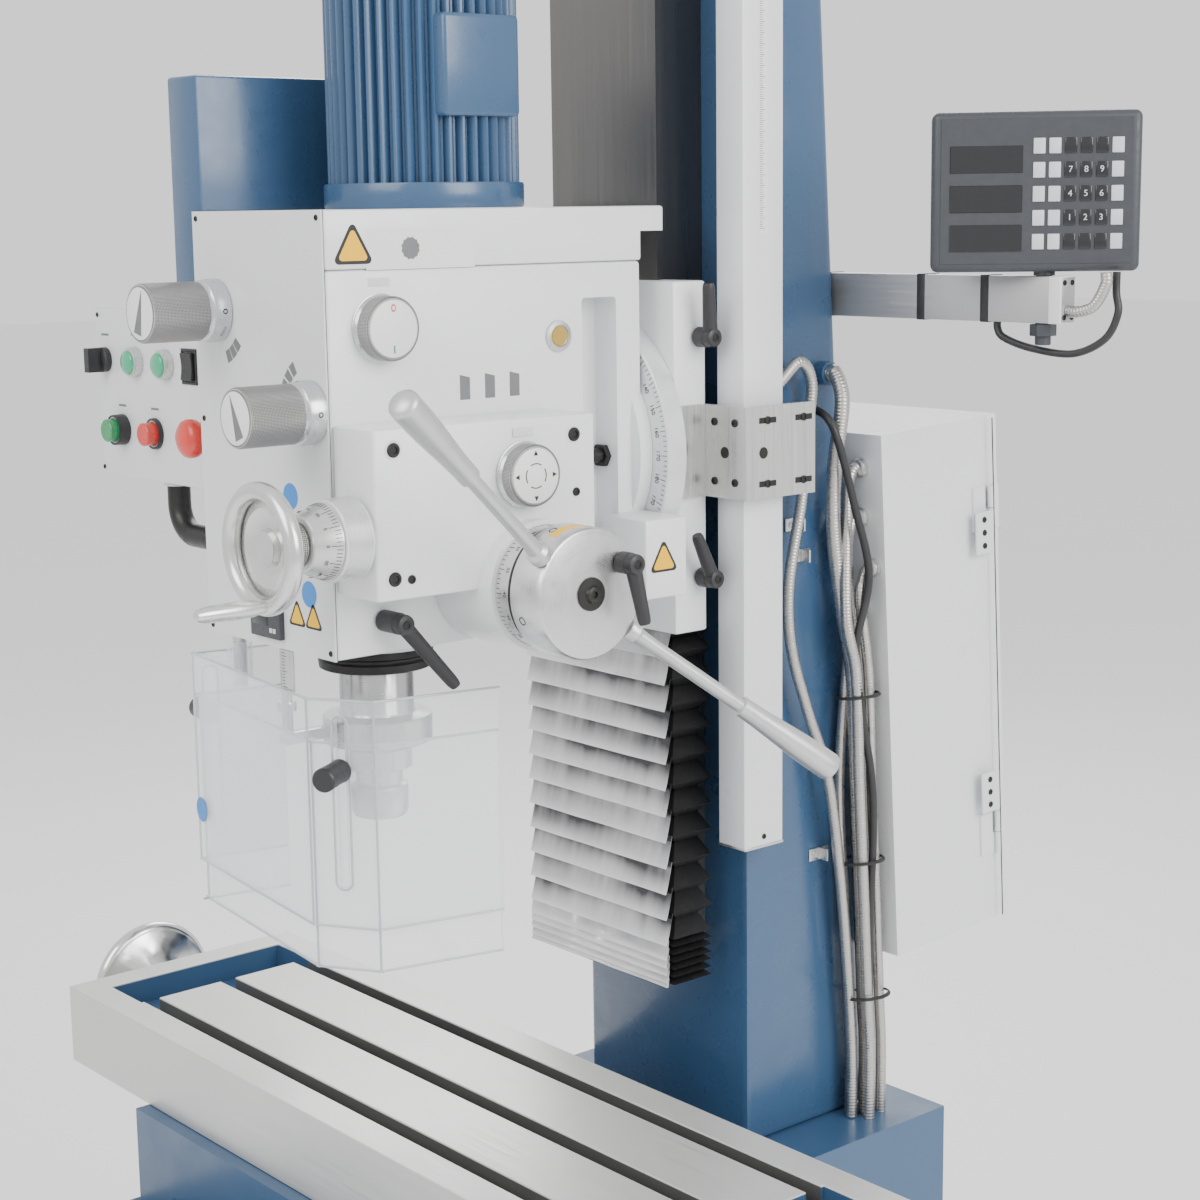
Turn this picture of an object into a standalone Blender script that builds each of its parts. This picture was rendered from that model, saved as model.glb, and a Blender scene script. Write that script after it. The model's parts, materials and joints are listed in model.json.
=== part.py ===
"""Vertical milling machine: base, saddle, table, column, carriage and a swivelling head.

The frame is in metres, +Z up, with +X to the operator's right and -Y towards the operator.
The origin lies on the floor, under the spindle axis. Every driving size is a named value below.
"""

from math import atan, cos, pi, radians, sin

import bmesh
import bpy
from mathutils import Matrix, Vector

# Clearances
GAP = 0.0003            # between pieces that touch
RUNNING = 0.0005        # round a turning shaft

# Base, saddle and table
BASE_HALF = 0.26
BASE_FRONT = -0.42
BASE_BACK = 0.66
BASE_FLANGE = 0.045
PEDESTAL_INSET = 0.055
DECK_Z = 0.60
CASTING_WALL = 0.022
RIB_THICK = 0.024
RIB_HEIGHT = 0.10
BED_HALF = 0.10
BED_HEIGHT = 0.04
SADDLE_HALF = 0.17
SADDLE_THICK = 0.072
TABLE_Z = 0.80
TABLE_THICK = 0.0845
TABLE_LENGTH = 1.0
TABLE_WIDTH = 0.28
TABLE_LEFT = -0.337
TABLE_CENTRE_Y = -0.046
TABLE_WAY_WIDTH = 0.17
TABLE_WAY_HEIGHT = 0.02
SLOT_PITCH = 0.094
SLOT_WIDTH = 0.018
SLOT_DEPTH = 0.032
TEE_WIDTH = 0.030
TEE_HEIGHT = 0.013
RIM = 0.034
TROUGH_LENGTH = 0.065
TROUGH_DEPTH = 0.028

# Column and carriage
COLUMN_HALF = 0.134
COLUMN_FRONT = 0.385
COLUMN_TOP = 1.98
COLUMN_BACK_AT_HEAD = 0.512
COLUMN_SLOPE = 0.059
COLUMN_WALL = 0.018
CAP_THICK = 0.02
CAP_OVERHANG = 0.016
WAY_HALF = 0.068
WAY_SPREAD = 0.016
WAY_PROUD = 0.078
WAY_BOTTOM = 0.80
WAY_TOP = 1.93
HOUSING_FRONT = 0.343
HOUSING_BACK = 0.400
HOUSING_WIDTH = 0.040
HOUSING_Z = (0.955, 1.90)
CARRIAGE_HALF = 0.130
CARRIAGE_FRONT = 0.2875
CARRIAGE_BACK = 0.332
CARRIAGE_BOTTOM = 1.190
CARRIAGE_TOP = 1.554
DISC_RADIUS = 0.150
DISC_THICK = 0.026
DISC_Z = 1.380
BELLOWS_HALF = 0.116
BELLOWS_FRONT = 0.282
BELLOWS_BOTTOM = 0.803
BELLOWS_BACK = 0.350

# Head
HEAD_HALF = 0.1123
HEAD_FRONT = -0.1195
HEAD_BACK = 0.259
HEAD_BOTTOM = 1.217
HEAD_TOP = 1.630
LID_HEIGHT = 0.054
LID_BACK = 0.291
LID_LIP = 0.025
PLATE_THICK = 0.0022
HEAD_FLANGE = 0.126
QUILL_RADIUS = 0.0375
QUILL_TOP = 1.45
RING_RADIUS = 0.058
STOP_ROD = (-0.020, -0.093)
FEED_BOX_OUT = 0.178
FEED_BOX_FLARE = 0.012
FEED_BOX_BACK = 0.13
FEED_BOX_Z = (1.280, 1.436)
HUB_Y = 0.055
HUB_Z = 1.279
DRUM_END = 0.2015
DRUM_RADIUS = 0.0625
HUB_RADIUS = 0.062
HUB_LENGTH = 0.0685
SPOKE_AT = 0.042
SPOKE_LENGTH = 0.335
SPOKE_TILT = radians(16)
SPOKE_ANGLE = radians(142)
GRIP_LENGTH = 0.125
FINE_X = 0.146
FINE_BOSS_FRONT = -0.152
FINE_Z = 1.337

# Cabinet
CABINET_TILT = atan(COLUMN_SLOPE)
CABINET_HALF = 0.18
CABINET_CORNER = (0.543, 1.382)
CABINET_DEPTH = 0.172
CABINET_HEIGHT = 0.596
CABINET_WALL = 0.012
DOOR_THICK = 0.018

# Digital readout
DRO_Y = 0.536
DRO_POST_X = 0.402
ARM_LEFT = 0.050
ARM_RIGHT = 0.432
ARM_Z = (1.510, 1.556)
ARM_THICK = 0.022
DISPLAY_TURN = radians(42)
DISPLAY_BOTTOM = 1.5605

# Control panel
PANEL = dict(left=-0.412, right=-0.125, face=-0.075, back=-0.020, bottom=1.347, top=1.529)
PANEL_PIVOT = (-0.297, -0.045)
TUBE_Z = 1.289
BUTTON_WELL = 0.016
BUTTON_STROKE = 0.005

# Guard
GUARD_POST = (-0.135, -0.075)
GUARD_TOP = 1.178
GUARD_SPLIT = 0.955
GUARD_LOW = 0.912
GUARD_LOWER_TOP = 1.135
GUARD_THICK = 0.004
GUARD_PLAN = ((-0.180, 0.0), (-0.200, -0.095), (0.070, -0.130), (0.129, -0.093), (0.157, 0.035))
GUARD_SLOT = (0.995, 1.160)
GUARD_CLAMP_Z = 1.110
STUD_RADIUS = 0.004

WHITE = (0.80, 0.82, 0.84)
BLUE = (0.045, 0.17, 0.36)
BLACK = (0.02, 0.02, 0.022)
STEEL = (0.62, 0.62, 0.61)
IRON = (0.50, 0.50, 0.49)

collections = {}


def start():
    for obj in list(bpy.data.objects):
        bpy.data.objects.remove(obj)
    for name in ("vertical_milling_machine", "cutters"):
        collections[name] = bpy.data.collections.new(name)
        bpy.context.scene.collection.children.link(collections[name])
    collections["cutters"].hide_render = True


def add_object(name, data, origin, material):
    """Links a new object. Without a material it is a helper that other pieces are cut or joined by."""
    obj = bpy.data.objects.new(name, data)
    obj.location = origin
    if material is None:
        collections["cutters"].objects.link(obj)
        obj.hide_render = True
        obj.display_type = "WIRE"
        return obj
    collections["vertical_milling_machine"].objects.link(obj)
    color, roughness, metallic = material
    slot = bpy.data.materials.new(name)
    slot.use_nodes = True
    shader = slot.node_tree.nodes["Principled BSDF"]
    shader.inputs["Base Color"].default_value = (*color, 1)
    shader.inputs["Roughness"].default_value = roughness
    shader.inputs["Metallic"].default_value = metallic
    data.materials.append(slot)
    return obj


def finish_mesh(bm, name):
    mesh = bpy.data.meshes.new(name)
    bm.to_mesh(mesh)
    bm.free()
    return mesh


def box(name, low, high, material=None, origin=None, bevel=0.0):
    """A box between two corners, with its origin at its centre unless a pivot is given."""
    low = Vector(low)
    high = Vector(high)
    centre = (low + high) / 2
    origin = centre if origin is None else Vector(origin)
    bm = bmesh.new()
    bmesh.ops.create_cube(bm, size=1)
    bmesh.ops.scale(bm, vec=high - low, verts=bm.verts)
    bmesh.ops.translate(bm, vec=centre - origin, verts=bm.verts)
    obj = add_object(name, finish_mesh(bm, name), origin, material)
    if bevel:
        rounded = obj.modifiers.new("edge", "BEVEL")
        rounded.width = bevel
        rounded.segments = 2
    return obj


def rod(name, start_point, end_point, radius, material=None, end_radius=None, sides=24, origin=None):
    """A round bar or a cone between two points."""
    start_point = Vector(start_point)
    along = Vector(end_point) - start_point
    origin = start_point if origin is None else Vector(origin)
    bm = bmesh.new()
    tip = radius if end_radius is None else end_radius
    bmesh.ops.create_cone(bm, cap_ends=True, segments=sides, radius1=radius, radius2=tip, depth=along.length)
    bmesh.ops.translate(bm, vec=(0, 0, along.length / 2), verts=bm.verts)
    turn = along.to_track_quat("Z", "Y").to_matrix()
    bmesh.ops.rotate(bm, matrix=turn, verts=bm.verts)
    bmesh.ops.translate(bm, vec=start_point - origin, verts=bm.verts)
    mesh = finish_mesh(bm, name)
    mesh.shade_smooth()
    mesh.set_sharp_from_angle(angle=radians(35))
    return add_object(name, mesh, origin, material)


def turned(name, origin, axis, profile, material=None, steps=32):
    """A turned piece. The profile holds (radius, distance along the axis) from the far end to the near end."""
    points = [(0.0, profile[0][1])] + list(profile) + [(0.0, profile[-1][1])]
    mesh = bpy.data.meshes.new(name)
    vertices = [(radius, 0, height) for radius, height in points]
    mesh.from_pydata(vertices, [(i, i + 1) for i in range(len(points) - 1)], [])
    obj = add_object(name, mesh, origin, material)
    obj.rotation_mode = "QUATERNION"
    obj.rotation_quaternion = Vector(axis).to_track_quat("Z", "Y")
    screw = obj.modifiers.new("turn", "SCREW")
    screw.steps = steps
    screw.render_steps = steps
    screw.use_merge_vertices = True
    screw.merge_threshold = 0.0001
    screw.use_smooth_shade = True
    return obj


def prism(name, outline, low, high, material=None, origin=(0, 0, 0), axis="Z"):
    """A flat outline extruded along an axis. Along Z it is (x, y); along X it is (y, z)."""
    curve = bpy.data.curves.new(name, "CURVE")
    curve.dimensions = "2D"
    curve.fill_mode = "BOTH"
    curve.extrude = (high - low) / 2
    spline = curve.splines.new("POLY")
    spline.points.add(len(outline) - 1)
    for point, (u, v) in zip(spline.points, outline):
        point.co = (u, v, 0, 1)
    spline.use_cyclic_u = True
    guide = bpy.data.objects.new(name + "_guide", curve)
    collections["cutters"].objects.link(guide)
    bpy.context.view_layer.update()
    mesh = bpy.data.meshes.new_from_object(guide.evaluated_get(bpy.context.evaluated_depsgraph_get()))
    bpy.data.objects.remove(guide)
    mesh.materials.clear()
    bm = bmesh.new()
    bm.from_mesh(mesh)
    bmesh.ops.remove_doubles(bm, verts=bm.verts, dist=0.00005)
    bmesh.ops.dissolve_limit(bm, angle_limit=radians(1), verts=bm.verts, edges=bm.edges)
    bmesh.ops.translate(bm, vec=(0, 0, (high + low) / 2), verts=bm.verts)
    if axis == "X":
        bmesh.ops.rotate(bm, matrix=Matrix(((0, 0, 1), (1, 0, 0), (0, 1, 0))), verts=bm.verts)
    bmesh.ops.translate(bm, vec=-Vector(origin), verts=bm.verts)
    bmesh.ops.recalc_face_normals(bm, faces=bm.faces)
    bpy.data.meshes.remove(mesh)
    return add_object(name, finish_mesh(bm, name), origin, material)


def smooth_route(points, spacing):
    """Points on a Catmull-Rom curve through the given ones, about one spacing apart."""
    points = [Vector(point) for point in points]
    padded = [2 * points[0] - points[1]] + points + [2 * points[-1] - points[-2]]
    route = [points[0]]
    for before, here, there, after in zip(padded, padded[1:], padded[2:], padded[3:]):
        count = max(1, round((there - here).length / spacing))
        for step in range(1, count + 1):
            t = step / count
            pull = (there - before) * t + (2 * before - 5 * here + 4 * there - after) * t * t
            route.append(here + (pull + (3 * here - before - 3 * there + after) * t ** 3) / 2)
    return route


def tube(name, points, radius, material, sides=2):
    """A round tube. Its first and last runs are straight, so that its ends are square to what they meet."""
    curve = bpy.data.curves.new(name, "CURVE")
    curve.dimensions = "3D"
    curve.bevel_depth = radius
    curve.bevel_resolution = sides
    curve.use_fill_caps = True
    route = [Vector(points[0])] + smooth_route(points[1:-1], radius * 5) + [Vector(points[-1])]
    spline = curve.splines.new("POLY")
    spline.points.add(len(route) - 1)
    for point, place_at in zip(spline.points, route):
        point.co = (*place_at, 1)
    return add_object(name, curve, (0, 0, 0), material)


def combine(target, other, operation):
    step = target.modifiers.new(operation.lower(), "BOOLEAN")
    step.operation = operation
    step.object = other


def cut(target, *cutters):
    for cutter in cutters:
        combine(target, cutter, "DIFFERENCE")


def join(target, *others):
    for other in others:
        combine(target, other, "UNION")


def column_back(z):
    """The column's back leans: it lies further back towards the floor."""
    return COLUMN_BACK_AT_HEAD + (HEAD_TOP - z) * COLUMN_SLOPE


def make_base():
    """A hollow cast stand with a flange on the floor and a bed for the saddle."""
    painted = (BLUE, 0.4, 0.0)
    inset = PEDESTAL_INSET
    base = box(
        "base", (-BASE_HALF, BASE_FRONT, 0), (BASE_HALF, BASE_BACK, BASE_FLANGE), painted, bevel=0.006
    )
    low = (-BASE_HALF + inset, BASE_FRONT + inset, BASE_FLANGE / 2)
    high = (BASE_HALF - inset, BASE_BACK - inset / 2, DECK_Z)
    pedestal = box("pedestal", low, high)
    bed = box(
        "bed", (-BED_HALF, BASE_FRONT + inset, DECK_Z - 0.01),
        (BED_HALF, COLUMN_FRONT - 0.06, DECK_Z + BED_HEIGHT)
    )
    wall = Vector((CASTING_WALL, CASTING_WALL, CASTING_WALL))
    inside = box("inside", Vector((low[0], low[1], -0.1)) + wall, Vector(high) - wall)
    join(base, pedestal, bed)
    for index, y in enumerate((BASE_FRONT + inset / 2, BASE_BACK - inset / 3)):
        for x in (-BASE_HALF + inset / 2, BASE_HALF - inset / 2):
            cut(base, rod(f"anchor_hole_{index}_{x > 0}", (x, y, -0.05), (x, y, 0.1), 0.009, sides=12))
    cut(base, inside)
    half = BASE_HALF - inset - CASTING_WALL / 2
    join(base, box("base_rib", (-half, -RIB_THICK / 2, 0), (half, RIB_THICK / 2, RIB_HEIGHT)))


def make_saddle():
    """The saddle straddles the bed and carries the rail that the table slides on."""
    top = TABLE_Z - TABLE_THICK - GAP
    bottom = DECK_Z + 0.005
    front = TABLE_CENTRE_Y - 0.155
    back = TABLE_CENTRE_Y + 0.155
    saddle = box(
        "saddle", (-SADDLE_HALF, front, bottom), (SADDLE_HALF, back, top), (BLUE, 0.4, 0),
        origin=(0, 0, bottom)
    )
    side = BED_HALF + GAP
    channel = box(
        "saddle_channel", (-side, front - 1, bottom - 1), (side, back + 1, DECK_Z + BED_HEIGHT + GAP)
    )
    half = TABLE_WAY_WIDTH / 2
    rail_low = (-SADDLE_HALF, TABLE_CENTRE_Y - half, top - 0.01)
    rail_high = (SADDLE_HALF, TABLE_CENTRE_Y + half, top + TABLE_WAY_HEIGHT)
    cut(saddle, channel)
    join(saddle, box("saddle_rail", rail_low, rail_high))


def make_table():
    """T-slots run between two end troughs, inside a rim."""
    bottom = TABLE_Z - TABLE_THICK
    right = TABLE_LEFT + TABLE_LENGTH
    front = TABLE_CENTRE_Y - TABLE_WIDTH / 2
    back = TABLE_CENTRE_Y + TABLE_WIDTH / 2
    table = box(
        "table", (TABLE_LEFT, front, bottom), (right, back, TABLE_Z), (IRON, 0.35, 0.9),
        origin=(0, 0, bottom)
    )
    half = TABLE_WAY_WIDTH / 2 + GAP
    way_top = bottom + TABLE_WAY_HEIGHT
    centre = TABLE_CENTRE_Y
    cut(table, box("table_way", (-2, centre - half, bottom - 1), (2, centre + half, way_top)))
    inner = (TABLE_LEFT + RIM, right - RIM)
    for end, (low, high) in enumerate(
        ((inner[0], inner[0] + TROUGH_LENGTH), (inner[1] - TROUGH_LENGTH, inner[1]))
    ):
        lowest = TABLE_Z - TROUGH_DEPTH
        cut(table, box(f"trough_{end}", (low, front + RIM, lowest), (high, back - RIM, TABLE_Z + 1)))
    for index in (-1, 0, 1):
        y = centre + index * SLOT_PITCH
        floor = TABLE_Z - SLOT_DEPTH
        x = (inner[0] + TROUGH_LENGTH / 2, inner[1] - TROUGH_LENGTH / 2)
        cut(
            table,
            box(
                f"slot_{index}", (x[0], y - SLOT_WIDTH / 2, floor),
                (x[1], y + SLOT_WIDTH / 2, TABLE_Z + 1)
            )
        )
        tee = TEE_WIDTH / 2
        cut(table, box(f"tee_{index}", (x[0], y - tee, floor - 0.0002), (x[1], y + tee, floor + TEE_HEIGHT)))


def handwheel(name, origin, axis, radius, handle_direction):
    """A dished wheel on a long hub. The profile starts at the outer face."""
    profile = [
        (radius * 0.2, 0.072), (radius * 0.24, 0.060), (radius * 0.80, 0.070), (radius * 0.84, 0.080),
        (radius * 0.96, 0.080), (radius, 0.074), (radius, 0.062), (radius * 0.9, 0.056),
        (radius * 0.35, 0.044), (radius * 0.28, 0.0),
    ]
    wheel = turned(name, origin, axis, profile, (STEEL, 0.2, 1.0))
    spot = Vector((radius * 0.9 * handle_direction[0], radius * 0.9 * handle_direction[1], 0.070))
    tip = spot + Vector((0, 0, 0.07))
    handle = rod(name + "_handle", spot, tip, 0.007, end_radius=0.010, sides=12)
    place(handle, wheel)
    join(wheel, handle)
    return wheel


def place(helper, owner):
    """Moves a helper that was built in its owner's own axes to where the owner is."""
    helper.rotation_mode = "QUATERNION"
    turn = owner.rotation_quaternion
    helper.location = Vector(owner.location) + turn @ Vector(helper.location)
    helper.rotation_quaternion = turn


def make_column():
    """A hollow tapered box, a cap on top, a dovetail way in front, and the scale housing on its side."""
    painted = (BLUE, 0.35, 0)
    bottom = DECK_Z + GAP
    sides = [(COLUMN_FRONT, bottom), (column_back(bottom), bottom), (column_back(COLUMN_TOP), COLUMN_TOP)]
    sides.append((COLUMN_FRONT, COLUMN_TOP))
    column = prism("column", sides, -COLUMN_HALF, COLUMN_HALF, painted, axis="X")
    wall = COLUMN_WALL
    hollow = [(COLUMN_FRONT + wall, bottom - 0.1), (column_back(bottom - 0.1) - wall, bottom - 0.1)]
    hollow += [
        (column_back(COLUMN_TOP + 0.1) - wall, COLUMN_TOP + 0.1), (COLUMN_FRONT + wall, COLUMN_TOP + 0.1)
    ]
    edge = column.modifiers.new("edge", "BEVEL")
    edge.width = 0.008
    edge.segments = 2
    cut(column, prism("column_inside", hollow, wall - COLUMN_HALF, COLUMN_HALF - wall, axis="X"))
    gland = rod(
        "column_gland", (COLUMN_HALF - 0.01, 0.497, 1.450), (COLUMN_HALF + 0.014, 0.497, 1.450), 0.013,
        sides=12
    )
    join(column, gland)

    cap_low = (-COLUMN_HALF - CAP_OVERHANG, 0.312, COLUMN_TOP + GAP)
    cap_high = (COLUMN_HALF + CAP_OVERHANG, 0.512, COLUMN_TOP + CAP_THICK)
    box("column_cap", cap_low, cap_high, painted, bevel=0.003)
    motor_floor = COLUMN_TOP + CAP_THICK + GAP
    gearbox = box(
        "z_motor", (-0.055, 0.330, motor_floor), (0.055, 0.440, motor_floor + 0.09), painted, bevel=0.004
    )
    join(gearbox, rod("z_motor_body", (0, 0.385, motor_floor + 0.08), (0, 0.385, motor_floor + 0.235), 0.05))

    tip = WAY_HALF + WAY_SPREAD
    y_tip = COLUMN_FRONT - WAY_PROUD
    shape = [(-tip, y_tip), (tip, y_tip), (WAY_HALF, y_tip + 0.024), (WAY_HALF, COLUMN_FRONT - GAP)]
    shape += [(-x, y) for x, y in reversed(shape[2:])]
    prism("column_way", shape, WAY_BOTTOM, WAY_TOP, (IRON, 0.3, 0.9))

    left = COLUMN_HALF + GAP
    low = (left, HOUSING_FRONT, HOUSING_Z[0])
    box(
        "scale_housing", low, (left + HOUSING_WIDTH, HOUSING_BACK, HOUSING_Z[1]), (WHITE, 0.35, 0),
        bevel=0.002
    )


def make_cabinet():
    """The electrical cabinet leans with the column's back. Its door closes the side away from the column."""
    pivot = bpy.data.objects.new("cabinet_corner", None)
    collections["vertical_milling_machine"].objects.link(pivot)
    pivot.location = (0, *CABINET_CORNER)
    pivot.rotation_euler = (CABINET_TILT, 0, 0)
    half = CABINET_HALF
    depth = CABINET_DEPTH
    height = CABINET_HEIGHT
    wall = CABINET_WALL
    white = (WHITE, 0.3, 0)
    cabinet = box("cabinet", (-half, 0, -height), (half, depth, 0), white)
    hollow = box("cabinet_inside", (wall - half, wall, wall - height), (half - wall, depth + 1, -wall))
    hollow.parent = pivot
    door_y = depth + GAP
    hinge_line = (half + 0.006, door_y, 0)
    door = box(
        "cabinet_door", (-half, door_y, -height), (half, door_y + DOOR_THICK, 0), white,
        origin=hinge_line
    )
    pin = (half + 0.006, door_y)
    for index, z in enumerate((-0.105, -0.49)):
        low_x = half - 0.003
        high_x = half + 0.003
        fixed = box(
            f"fixed_leaf_{index}", (low_x, depth - 0.026, z - 0.025), (high_x, depth - 0.006, z + 0.025)
        )
        bridge = box(
            f"fixed_web_{index}", (low_x, depth - 0.010, z - 0.0245),
            (high_x - 0.0003, depth - 0.0008, z - 0.001)
        )
        barrel = rod(f"fixed_barrel_{index}", (*pin, z - 0.025), (*pin, z), 0.004, sides=12)
        moving = box(
            f"door_leaf_{index}", (low_x, door_y + 0.006, z - 0.025),
            (high_x, door_y + 0.0165, z + 0.025)
        )
        web = box(
            f"door_web_{index}", (low_x, door_y + 0.0008, z + 0.0015),
            (high_x - 0.0003, door_y + 0.010, z + 0.0245)
        )
        knuckle = rod(f"door_knuckle_{index}", (*pin, z + 0.0008), (*pin, z + 0.025), 0.004, sides=12)
        join(cabinet, fixed, bridge, barrel)
        join(door, moving, web, knuckle)
        for helper in (fixed, bridge, barrel, moving, web, knuckle):
            helper.parent = pivot
    reach = (CABINET_CORNER[0] - column_back(CABINET_CORNER[1])) * cos(CABINET_TILT)
    for name, z in (("upper_rail", -0.09), ("lower_rail", -0.50)):
        rail = box(name, (-0.10, GAP - reach, z - 0.02), (0.10, 0.005, z + 0.02))
        rail.parent = pivot
        join(cabinet, rail)
    cut(cabinet, hollow)
    for obj in (cabinet, door):
        obj.parent = pivot


def make_readout():
    """The digital readout: a bracket behind the column, a swinging arm and a display on a post."""
    pivot_x = 0.068
    middle = (ARM_Z[0] + ARM_Z[1]) / 2
    back = column_back(ARM_Z[0] - 0.02)
    bracket = box(
        "readout_bracket", (0.01, back + GAP, ARM_Z[0] - 0.02), (0.05, DRO_Y + 0.012, ARM_Z[1] + 0.02),
        (BLACK, 0.5, 0)
    )
    for index, z in enumerate((ARM_Z[0] - 0.012, ARM_Z[1] + 0.012)):
        low = (0.03, DRO_Y - 0.012, z - 0.008)
        ear = box(f"ear_{index}", low, (pivot_x + 0.014, DRO_Y + 0.012, z + 0.008))
        join(bracket, ear)
    arm = box("readout_arm", (ARM_LEFT + 0.006, DRO_Y - ARM_THICK / 2, ARM_Z[0]),
              (ARM_RIGHT, DRO_Y + ARM_THICK / 2, ARM_Z[1]),
              (STEEL, 0.4, 0.8), origin=(pivot_x, DRO_Y, middle), bevel=0.001)
    hole = rod("post_hole", (DRO_POST_X, DRO_Y, 1.4), (DRO_POST_X, DRO_Y, 1.6), 0.008 + RUNNING, sides=16)
    cut(arm, hole)

    origin = (DRO_POST_X, DRO_Y, DISPLAY_BOTTOM)
    display = box(
        "readout_display", (-0.112, -0.022, 0), (0.090, 0.022, 0.155), (BLACK, 0.4, 0), origin=(0, 0, 0),
        bevel=0.006
    )
    under = ARM_Z[0] - DISPLAY_BOTTOM
    here = (0, 0, 0)
    post = rod("post", (0, 0, 0.01), (0, 0, under - 0.022), 0.008, sides=16, origin=here)
    nut = rod("post_nut", (0, 0, under - 0.001), (0, 0, under - 0.013), 0.0135, sides=6, origin=here)
    collar = rod(
        "post_collar", (0, 0, 0.002), (0, 0, ARM_Z[1] + GAP - DISPLAY_BOTTOM), 0.011, sides=16,
        origin=here
    )
    for obj in (display, post, nut, collar):
        obj.location = origin
        obj.rotation_euler = (0, 0, DISPLAY_TURN)
    join(display, post, nut, collar)

    metal = (STEEL, 0.35, 1.0)
    below = DISPLAY_BOTTOM - GAP
    x = ARM_RIGHT + GAP
    z = 1.522
    route = [
        (0.470, 0.545, below), (0.470, 0.545, below - 0.012), (0.460, 0.540, z + 0.006),
        (x + 0.012, DRO_Y, z), (x, DRO_Y, z)
    ]
    tube("readout_conduit", route, 0.006, metal)
    under = ARM_Z[0] - GAP
    route = [(0.470, 0.562, below), (0.470, 0.562, below - 0.02), (0.474, 0.560, 1.520), (0.462, 0.556, 1.495),
             (0.430, 0.548, 1.480), (0.385, 0.540, 1.484), (0.352, DRO_Y, 1.494), (0.344, DRO_Y, under - 0.006),
              (0.344, DRO_Y, under)]
    tube("readout_cable", route, 0.004, (BLACK, 0.5, 0))


def make_conduits():
    """Metal conduits and a control cable down the column's side, into the deck behind the bed."""
    metal = (STEEL, 0.35, 1.0)
    floor = DECK_Z + GAP
    back = HOUSING_BACK + GAP
    scale = [(0.155, back, 1.445), (0.155, back + 0.012, 1.445), (0.158, 0.440, 1.466), (0.158, 0.458, 1.445),
             (0.156, 0.456, 1.400), (0.155, 0.447, 1.320), (0.155, 0.428, 1.230), (0.155, 0.432, 1.160),
             (0.156, 0.455, 1.090), (0.158, 0.485, 1.010), (0.158, 0.505, 0.900), (0.157, 0.520, 0.780),
             (0.155, 0.530, 0.680), (0.155, 0.530, floor)]
    motor = [(COLUMN_HALF + 0.0145, 0.497, 1.450), (0.156, 0.497, 1.450), (0.168, 0.495, 1.420),
             (0.160, 0.492, 1.350),
             (0.155, 0.496, 1.280), (0.156, 0.510, 1.190), (0.158, 0.524, 1.120), (0.158, 0.530, 1.000),
             (0.157, 0.540, 0.860), (0.156, 0.548, 0.740), (0.155, 0.553, 0.680), (0.155, 0.553, floor)]
    cable = [(COLUMN_HALF + GAP, 0.478, 1.412), (0.146, 0.478, 1.412), (0.170, 0.474, 1.402), (0.179, 0.482, 1.370),
             (0.178, 0.504, 1.310),
             (0.178, 0.528, 1.230), (0.174, 0.512, 1.150), (0.176, 0.520, 1.080), (0.177, 0.536, 1.000),
             (0.176, 0.540, 0.930), (0.174, 0.538, 0.840), (0.172, 0.540, 0.720), (0.170, 0.542, 0.660), (0.170, 0.542, floor)]
    tube("scale_conduit", scale, 0.0065, metal)
    tube("motor_conduit", motor, 0.0085, metal)
    tube("control_cable", cable, 0.0045, (BLACK, 0.5, 0))


def clamp_lever(name, seat, axis, arm, reach, standoff, material=(BLACK, 0.4, 0)):
    """A clamping lever: a round hub on its stud, and a tapered arm that leans away from the face."""
    axis = Vector(axis).normalized()
    arm = Vector(arm).normalized()
    seat = Vector(seat) + axis * GAP
    hub = rod(name, seat, seat + axis * standoff, 0.0105, material, sides=16)
    root = seat + axis * (standoff - 0.008)
    tip = root + arm * reach
    join(hub, rod(name + "_arm", root, tip, 0.0085, end_radius=0.0065, sides=12, origin=root))
    return hub


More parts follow.
